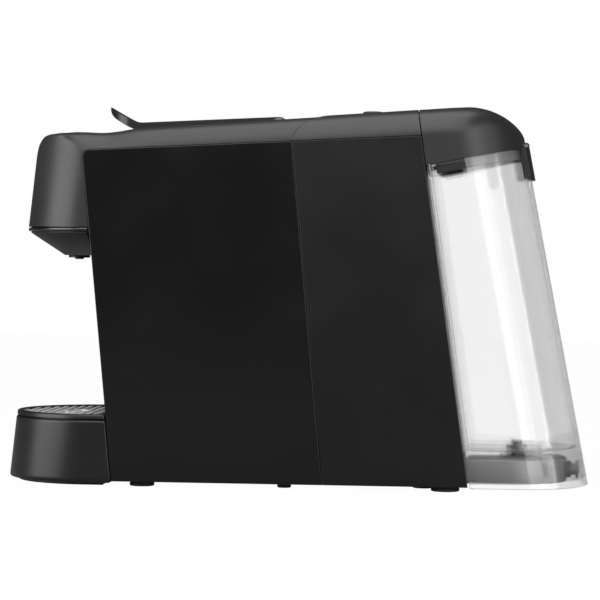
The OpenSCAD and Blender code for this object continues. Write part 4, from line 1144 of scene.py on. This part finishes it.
class MACHINE_OT_tray(Operator):
    """Builds the drip tray, its rim and slats, and the capsule bin"""
    bl_idname = "machine.tray"
    bl_label = "Tray"

    def slats(self):
        t = tray()
        z = (t.grille_z - 2.6 * MM, t.grille_z - 0.8 * MM)
        bar = block("bar", (-60 * MM, 0, z[0]), (60 * MM, t.slat, z[1]))
        eased(bar, 0.45 * MM, segments=2)
        rows = [(0, -187.4 * MM + i * t.pitch, 0) for i in range(14)]
        obj = repeater("grille_bars", bar, rows, finish("brushed_steel"))
        for x in (-34 * MM, 0, 34 * MM):
            boolean(obj, block("rail", (x - MM, -0.2, z[0] - 1.6 * MM), (x + MM, -0.11, z[0] + 0.4 * MM)),
                    "UNION")
        boolean(obj, lathe("ring", [(t.hole + 1.8 * MM, z[0]), (t.hole + 1.8 * MM, z[1])],
                           (0, t.spout_y, 0)), "UNION")
        inner = tray_plan()
        keep = loft("keep", [inner.loop(4.6 * MM, level) for level in (t.height - 6 * MM, t.grille_z + MM)])
        boolean(obj, keep, "INTERSECT")
        boolean(obj, lathe("hole", [(t.hole, 0.0), (t.hole, 0.1)], (0, t.spout_y, 0)))
        placed(obj, "grille", "brushed_steel", "grille_slats")

    def execute(self, context):
        t = tray()
        plan = tray_plan()
        top, wall = t.height, t.wall
        profile = [(9 * MM, 1.4 * MM), (9 * MM, 0.4 * MM), (6.6 * MM, 0.4 * MM), (6.1 * MM, 0.9 * MM),
                   (6 * MM, 2.2 * MM), (1.6 * MM, 2.2 * MM), (0.6 * MM, 2.6 * MM), (0.1 * MM, 3.6 * MM),
                   (0, 5 * MM), (0, 6 * MM), (0, top - 1.9 * MM), (0, top - 0.9 * MM),
                   (0.25 * MM, top - 0.3 * MM), (0.8 * MM, top), (wall - 0.5 * MM, top),
                   (wall, top - 0.5 * MM), (wall, 7 * MM), (wall + 0.8 * MM, 5.2 * MM),
                   (wall + 2.5 * MM, 4.6 * MM)]
        placed(tub("drip_tub", plan, profile, finish("satin_black_tray"), sharp=40),
               "drawer", "satin_black_tray", "drip_tray")
        hole = wall + 2.1 * MM
        rim = [(0.9 * MM, top + 0.5 * MM), (0.3 * MM, top + 1.0 * MM), (0.3 * MM, t.grille_z - 0.9 * MM),
               (0.55 * MM, t.grille_z - 0.3 * MM), (1.1 * MM, t.grille_z), (hole - 0.5 * MM, t.grille_z),
               (hole, t.grille_z - 0.4 * MM), (hole, top - 2.4 * MM), (wall + 0.8 * MM, top - 2.4 * MM),
               (wall + 0.8 * MM, top + 0.5 * MM)]
        placed(tub("rim_frame", plan, rim, finish("satin_black_tray"), ring=True, sharp=40),
               "grille", "satin_black_tray", "grille_rim")
        self.slats()
        placed(softened("capsule_bin", "used_capsule_bin", 0.4 * MM, finish("satin_black_tray")),
               "drawer", "satin_black_tray", "capsule_bin")
        return {"FINISHED"}


# ---------------------------------------------------------------- water tank and its lid

class MACHINE_OT_tank(Operator):
    """Builds the clear tank, its hinged lid, the clip that carries it and the valve"""
    bl_idname = "machine.tank"
    bl_label = "Tank"

    def vessel(self):
        t = tank()
        plan = tank_plan()

        def near_rim(drop):
            """A level that follows the sloping rim, below it."""
            return lambda y: rim_at(y) - drop

        # extra loops near each rounded edge keep the tall walls optically flat
        outside = [(0.5 * MM, t.low), (0.15 * MM, t.low + 0.15 * MM), (0, t.low + 0.5 * MM),
                   (0, t.low + 1.2 * MM), (0, 0.1), (0, near_rim(1.5 * MM)), (0, near_rim(0.7 * MM)),
                   (0.2 * MM, near_rim(0.2 * MM)), (0.7 * MM, rim_at)]
        obj = loft("water_vessel", [plan.loop(inset, level) for inset, level in outside])
        floor = t.floor_z + t.floor_t
        water = loft("water", [plan.loop(t.wall + inset, level) for inset, level in (
            (2.0 * MM, floor), (0.6 * MM, floor + 0.6 * MM), (0, floor + 2.0 * MM),
            (0, floor + 3.0 * MM), (0, 0.1), (0, lambda y: rim_at(y) + 20 * MM))], sharp=50)
        under = loft("under", [plan.loop(t.wall, level, flat_inset=-12 * MM)
                               for level in (-0.01, t.floor_z)])
        boolean(obj, water)
        boolean(obj, under)
        boolean(obj, lathe("hole", [(3.9 * MM, 0), (3.9 * MM, 0.06)], (0, t.valve_y, 0)))
        obj.data.materials.append(finish("clear_tank"))
        placed(obj, "water_tank", "clear_tank", "tank")

    def lid(self):
        b, t = body(), tank()
        stations = walk(80 * MM, 106 * MM, 1, 2.4 * MM, 56)
        bm = capped_skin(over_lid, stations, 0.2, 26 * MM, 12, 44)
        back = Vector((0, b.back_reach + t.lid_gap, 0))
        lean = Vector((0, math.cos(b.back_lean), math.sin(b.back_lean)))
        rim = Vector((0, 0.1, rim_at(0.1) + 0.5 * MM))
        up = Vector((0, -math.sin(t.rim_slope), math.cos(t.rim_slope)))
        trim(bm, [(back, lean, None), (rim, up, None)],
             lambda c: (c - back).dot(lean) < 0 or (c - rim).dot(up) < 0)
        facing_out(bm)
        obj = piece_from(bm, "lid_shell", finish("satin_black_cover"), outward=False)
        walled(obj, t.lid_wall)
        bridge = block("bridge", (-21 * MM, 0.03, -0.02), (21 * MM, 0.09, 2.1 * MM))
        bridge.data.transform(Matrix.Translation(rim) @ Matrix.Rotation(t.rim_slope, 4, "X"))
        boolean(obj, bridge)
        hinge_z = rim_at(t.hinge_y) + 2.6 * MM
        boolean(obj, block("knuckle", (-5.8 * MM, t.hinge_y - 5 * MM, hinge_z - 5 * MM),
                           (5.8 * MM, t.hinge_y + 7 * MM, hinge_z + 3 * MM)))
        ears = [lathe("ear", [(1.25 * MM, 0), (2.2 * MM, 0), (2.2 * MM, 4.4 * MM), (1.25 * MM, 4.4 * MM),
                              (1.25 * MM, 0)], (x, t.hinge_y, hinge_z), axis="X", steps=24,
                      material=finish("satin_black_cover")) for x in (-10.2 * MM, 5.8 * MM)]
        placed(merged([obj, *ears], "lid_cover"), "tank_lid", "satin_black_cover", "lid")

    def lip(self):
        t = tank()
        plan = tank_plan()
        outer, inner = t.wall + 0.8 * MM, t.wall + 2.6 * MM
        flat = t.wall + 3 * MM

        def lift(z):
            """A level that follows the sloping rim, above it."""
            return lambda y: rim_at(y) + z

        loops = [plan.loop(inset, lift(level), flat_inset=front) for inset, level, front in (
            (outer + 0.3 * MM, -6 * MM, flat + 0.3 * MM), (outer, -5.6 * MM, flat), (outer, 3.9 * MM, flat),
            (inner + 6 * MM, 3.9 * MM, flat + 8 * MM), (inner + 6 * MM, 3.0 * MM, flat + 8 * MM),
            (inner, 3.0 * MM, flat + 1.8 * MM), (inner, -5.8 * MM, flat + 1.8 * MM),
            (inner - 0.3 * MM, -6 * MM, flat + 1.5 * MM))]
        obj = loft("lid_lip", loops, finish("lip_black"), ring=True)
        slot = block("clip_room", (-21.5 * MM, 0.135, 0.1), (21.5 * MM, 0.195, 0.33))
        boolean(obj, slot)
        obj.data.materials.append(finish("frosted_lip"))
        frosted_from = 111.6 * MM
        for face in obj.data.polygons:
            face.material_index = 1 if face.center.y > frosted_from else 0
        placed(obj, "tank_lid", "dark_plastic", "lid_liner")

    def valve(self):
        t = tank()
        z = t.floor_z
        stem = 3.6 * MM
        profile = [(0, z - MM), (stem - 0.5 * MM, z - MM), (stem, z - 0.5 * MM), (stem, z + 2.8 * MM),
                   (7.0 * MM, z + 2.8 * MM), (7.2 * MM, z + 3.0 * MM), (7.2 * MM, z + 3.4 * MM),
                   (7.0 * MM, z + 3.6 * MM), (stem, z + 3.6 * MM), (stem, z + 6.2 * MM),
                   (stem - 0.4 * MM, z + 6.6 * MM), (0, z + 6.6 * MM)]
        obj = lathe("valve_stem", profile, (0, t.valve_y, 0), material=finish("cast_grey"))
        placed(obj, "tank_valve", "cast_grey", "valve_poppet")

    def execute(self, context):
        self.vessel()
        self.lid()
        self.lip()
        self.valve()
        placed(softened("lid_hinge_clip", "hinge_clip", 0.35 * MM, finish("dark_plastic")),
               "water_tank", "dark_plastic", "lid_hinge_clip")
        return {"FINISHED"}


# ---------------------------------------------------------------- shelf that the tank docks on

class MACHINE_OT_dock(Operator):
    """Builds the cast shelf, its ribbed socket and the sprung plunger behind it"""
    bl_idname = "machine.dock"
    bl_label = "Dock"

    def shelf(self):
        b = body()
        plan = TubPlan(38 * MM, 40 * MM, 1, SHELF_BACK, 0, b.back_reach - 0.9 * MM, b.back_lean, 0.8 * MM)
        low, high = 4.5 * MM, SHELF_TOP
        loops = [plan.loop(inset, level, flat_inset=flat) for inset, level, flat in (
            (2 * MM, high - MM, 2.9 * MM), (2 * MM, low, 2.9 * MM), (0.5 * MM, low, 0.2 * MM),
            (0, low + 0.5 * MM, 0), (0, high - 1.3 * MM, 0), (0.35 * MM, high - 0.4 * MM, 0.2 * MM),
            (1.2 * MM, high, 0.5 * MM))]
        obj = loft("dock_shelf", loops, finish("cast_grey"))
        boolean(obj, lathe("well", [(4 * MM, 0), (4 * MM, 0.04)], (0, tank().valve_y, 0)))
        boolean(obj, lathe("pass", [(4.25 * MM, 0.16), (4.25 * MM, 0.2)], (0, 0, PLUNGER_Z), axis="Y"))
        placed(obj, "body", "cast_grey", "tank_shelf")

    def socket(self):
        t = tank()
        low, high, radius = SHELF_TOP, t.floor_z - 0.5 * MM, 11 * MM
        ring = lathe("socket", [(7 * MM, low), (radius - 0.7 * MM, low), (radius - 0.7 * MM, high - 0.3 * MM),
                                (radius - MM, high), (7.3 * MM, high), (7 * MM, high - 0.3 * MM),
                                (7 * MM, low)], (0, 0, 0), material=finish("dark_plastic"))
        pin = lathe("pin", [(0, low), (1.2 * MM, low), (1.2 * MM, t.floor_z - 1.5 * MM),
                            (0, t.floor_z - 1.4 * MM)], (0, 0, 0), material=finish("dark_plastic"), steps=20)
        rib = block("rib", (-0.6 * MM, -0.5 * MM, low), (0.6 * MM, 0.5 * MM, high - 0.7 * MM))
        eased(rib, 0.15 * MM)
        turn = np.linspace(0, 2 * HALF_TURN, 28, endpoint=False)
        pitch = radius - 0.6 * MM
        spots = [(pitch * math.cos(a), pitch * math.sin(a), 0) for a in turn]
        ribs = repeater("socket_ribs", rib, spots, finish("dark_plastic"), spin=True)
        obj = merged([ring, pin, ribs], "dock_ring")
        obj.data.transform(Matrix.Translation((0, t.valve_y, 0)))
        placed(obj, "body", "dark_plastic", "dock_socket")

    def execute(self, context):
        self.shelf()
        self.socket()
        start = 181.5 * MM
        profile = [(0, start), (3.85 * MM, start), (3.85 * MM, start + 5.4 * MM),
                   (5.9 * MM, start + 5.4 * MM), (6.2 * MM, start + 5.7 * MM),
                   (6.2 * MM, start + 6.5 * MM), (5.9 * MM, start + 6.8 * MM),
                   (3.4 * MM, start + 6.8 * MM), (2.6 * MM, start + 7.6 * MM), (0, start + 7.7 * MM)]
        bolt = lathe("rear_bolt", profile, (0, 0, PLUNGER_Z), axis="Y", material=finish("cast_grey"))
        placed(bolt, "shelf_plunger", "cast_grey", "rear_plunger")
        face = SHELF_BACK + 0.05 * MM
        guide = lathe("bolt_guide", [(3.9 * MM, face), (5.6 * MM, face), (5.6 * MM, face + 2.6 * MM),
                                     (5.2 * MM, face + 3 * MM), (3.9 * MM, face + 3 * MM), (3.9 * MM, face)],
                      (0, 0, PLUNGER_Z), axis="Y", material=finish("dark_plastic"))
        placed(guide, "body", "dark_plastic", "plunger_guide")
        return {"FINISHED"}


# ---------------------------------------------------------------- pieces inside, kept as they are

INSIDE = {
    "steel_fastener": ("lever_shaft", "lever_cranks", "button_spring_left", "button_spring_right",
                       "lid_hinge_pin"),
    "cast_grey": ("injector_head", "heater_block", "brew_cup"),
    "dark_plastic": ("mechanism_frame", "capsule_chute", "cup_rails"),
    "pump_body": ("pump", "flow_meter"),
    "rubber_black": ("pump_mounts", "valve_seal"),
    "hose_silicone": ("water_hoses",),
    "board_green": ("control_board",),
}


class MACHINE_OT_inside(Operator):
    """Gives the pieces inside the machine their materials"""
    bl_idname = "machine.inside"
    bl_label = "Inside"

    def execute(self, context):
        for slot, nodes in INSIDE.items():
            for node in nodes:
                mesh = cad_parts[node].data
                mesh.materials.clear()
                mesh.materials.append(finish(slot))
        return {"FINISHED"}


# ---------------------------------------------------------------- studio

# name, place, point it looks at, width and height in metres, watts
LIGHTS = (
    ("front_window", (0.56, -1.22, 0.24), (0, -0.1, 0.14), (1.05, 1.4), 19),
    ("rear_window", (0.5, 1.6, 0.5), (0, 0.1, 0.14), (0.8, 1.2), 4),
    ("rear_side", (1.05, 1.0, 0.3), (0, 0.15, 0.08), (0.7, 0.9), 7),
    ("overhead", (0.25, -0.05, 1.6), (0, 0, 0.1), (1.3, 1.5), 16),
    ("high_side", (1.15, -0.1, 0.98), (0, 0, 0.2), (1.6, 1.0), 13),
)


class MACHINE_OT_studio(Operator):
    """Sets the camera, the lights, the white surroundings and the floor"""
    bl_idname = "machine.studio"
    bl_label = "Studio"

    def camera(self, context):
        s = context.scene.machine_studio
        data = bpy.data.cameras.new("view")
        data.lens = s.lens
        data.sensor_width = 36
        data.clip_end = 30
        camera = bpy.data.objects.new("view", data)
        context.scene.collection.objects.link(camera)
        look = Vector((-math.sin(s.azimuth) * math.cos(s.elevation),
                       math.cos(s.azimuth) * math.cos(s.elevation), -math.sin(s.elevation)))
        camera.location = Vector((0, s.aim_y, s.aim_z)) - look * s.distance
        camera.rotation_euler = (look.to_track_quat("-Z", "Y")
                                 @ Matrix.Rotation(s.roll, 4, "Z").to_quaternion()).to_euler()
        context.scene.camera = camera

    def panel(self, context, name, place, aim, size, power):
        data = bpy.data.lights.new(name, "AREA")
        data.shape = "RECTANGLE"
        data.size, data.size_y = size
        data.energy = power
        light = bpy.data.objects.new(name, data)
        context.scene.collection.objects.link(light)
        light.location = place
        light.visible_camera = False
        light.rotation_euler = (Vector(aim) - Vector(place)).to_track_quat("-Z", "Y").to_euler()
        return light

    def surroundings(self, context):
        s = context.scene.machine_studio
        world = bpy.data.worlds.new("surroundings")
        world.use_nodes = True
        context.scene.world = world
        tree = world.node_tree
        tree.nodes.clear()
        rays = shader_node(tree, "ShaderNodeLightPath")
        # the side of the studio in front of the machine stays dark
        way = shader_node(tree, "ShaderNodeSeparateXYZ", {
            "Vector": tree.nodes.new("ShaderNodeTexCoord").outputs["Generated"]})
        backdrop = shader_node(tree, "ShaderNodeMapRange", {
            "Value": way.outputs["X"], "From Min": 0.72, "From Max": 0.93, "To Min": s.through_tank,
            "To Max": s.ambient})
        through = shader_node(tree, "ShaderNodeMath", {0: rays.outputs["Is Transmission Ray"],
                                                       1: backdrop.outputs["Result"]},
                              operation="MULTIPLY")
        seen = shader_node(tree, "ShaderNodeMath", {0: rays.outputs["Is Camera Ray"],
                                                    1: through.outputs[0]}, operation="MAXIMUM")
        level = shader_node(tree, "ShaderNodeMath", {0: seen.outputs[0], 1: s.ambient},
                            operation="MAXIMUM")
        light = shader_node(tree, "ShaderNodeBackground", {"Color": (1, 1, 1, 1),
                                                           "Strength": level.outputs[0]})
        output = shader_node(tree, "ShaderNodeOutputWorld")
        tree.links.new(light.outputs["Background"], output.inputs["Surface"])

    def floor(self, context):
        s = context.scene.machine_studio
        material, tree, surface, coords = blank("white_sweep")
        paper = shader_node(tree, "ShaderNodeBsdfDiffuse", {
            "Color": (0.25, 0.25, 0.25, 1), "Roughness": varied(tree, coords, 60 * MM, 0.8, 1.0)})
        rays = shader_node(tree, "ShaderNodeLightPath")
        through = shader_node(tree, "ShaderNodeMath", {0: rays.outputs["Is Transmission Ray"],
                                                       1: s.through_tank}, operation="MULTIPLY")
        bright = shader_node(tree, "ShaderNodeMath", {0: through.outputs[0], 1: 1.02},
                             operation="MAXIMUM")
        glow = shader_node(tree, "ShaderNodeEmission", {"Color": (1, 1, 1, 1),
                                                        "Strength": bright.outputs[0]})
        seen = shader_node(tree, "ShaderNodeMath", {0: rays.outputs["Is Camera Ray"],
                                                    1: rays.outputs["Is Transmission Ray"]},
                           operation="MAXIMUM")
        share = shader_node(tree, "ShaderNodeMapRange", {"Value": seen.outputs[0],
                                                         "To Min": 0.05, "To Max": 0.96})
        both = shader_node(tree, "ShaderNodeMixShader", {
            0: share.outputs["Result"], 1: paper.outputs["BSDF"], 2: glow.outputs["Emission"]})
        tree.links.new(both.outputs["Shader"], surface)
        bm = bmesh.new()
        bmesh.ops.create_grid(bm, x_segments=2, y_segments=2, size=3)
        bm.transform(Matrix.Translation((0, 0, -0.2 * MM)))
        floor = piece_from(bm, "floor", material, outward=False)

    def execute(self, context):
        self.camera(context)
        self.surroundings(context)
        self.floor(context)
        for light in LIGHTS:
            self.panel(context, *light)
        context.scene.view_settings.view_transform = "Standard"
        return {"FINISHED"}


class MACHINE_PT_sizes(Panel):
    """Sizes of the coffee machine"""
    bl_idname = "MACHINE_PT_sizes"
    bl_label = "Coffee Machine"
    bl_space_type = "VIEW_3D"
    bl_region_type = "UI"
    bl_category = "Coffee Machine"

    def draw(self, context):
        for name, group in GROUPS.items():
            settings = getattr(context.scene, name)
            box = self.layout.box()
            box.label(text=group.__doc__)
            for key in group.__annotations__:
                box.prop(settings, key)
        for operator in PIECES:
            self.layout.operator(operator.bl_idname)


GROUPS = {"machine_body": BodySizes, "machine_lever": LeverSizes, "machine_tray": TraySizes,
          "machine_tank": TankSizes, "machine_finishes": Finishes, "machine_studio": Studio}
PIECES = (MACHINE_OT_finishes, MACHINE_OT_head, MACHINE_OT_panels, MACHINE_OT_base, MACHINE_OT_top,
          MACHINE_OT_lever, MACHINE_OT_tray, MACHINE_OT_tank, MACHINE_OT_dock, MACHINE_OT_inside,
          MACHINE_OT_studio)
CLASSES = (*GROUPS.values(), *PIECES, MACHINE_PT_sizes)


def register():
    for cls in CLASSES:
        bpy.utils.register_class(cls)
    for name, group in GROUPS.items():
        setattr(bpy.types.Scene, name, PointerProperty(type=group))


def unregister():
    for name in GROUPS:
        delattr(bpy.types.Scene, name)
    for cls in reversed(CLASSES):
        bpy.utils.unregister_class(cls)


def main():
    register()
    for piece in PIECES:
        family, name = piece.bl_idname.split(".")
        getattr(getattr(bpy.ops, family), name)()


if __name__ == "__main__":
    main()
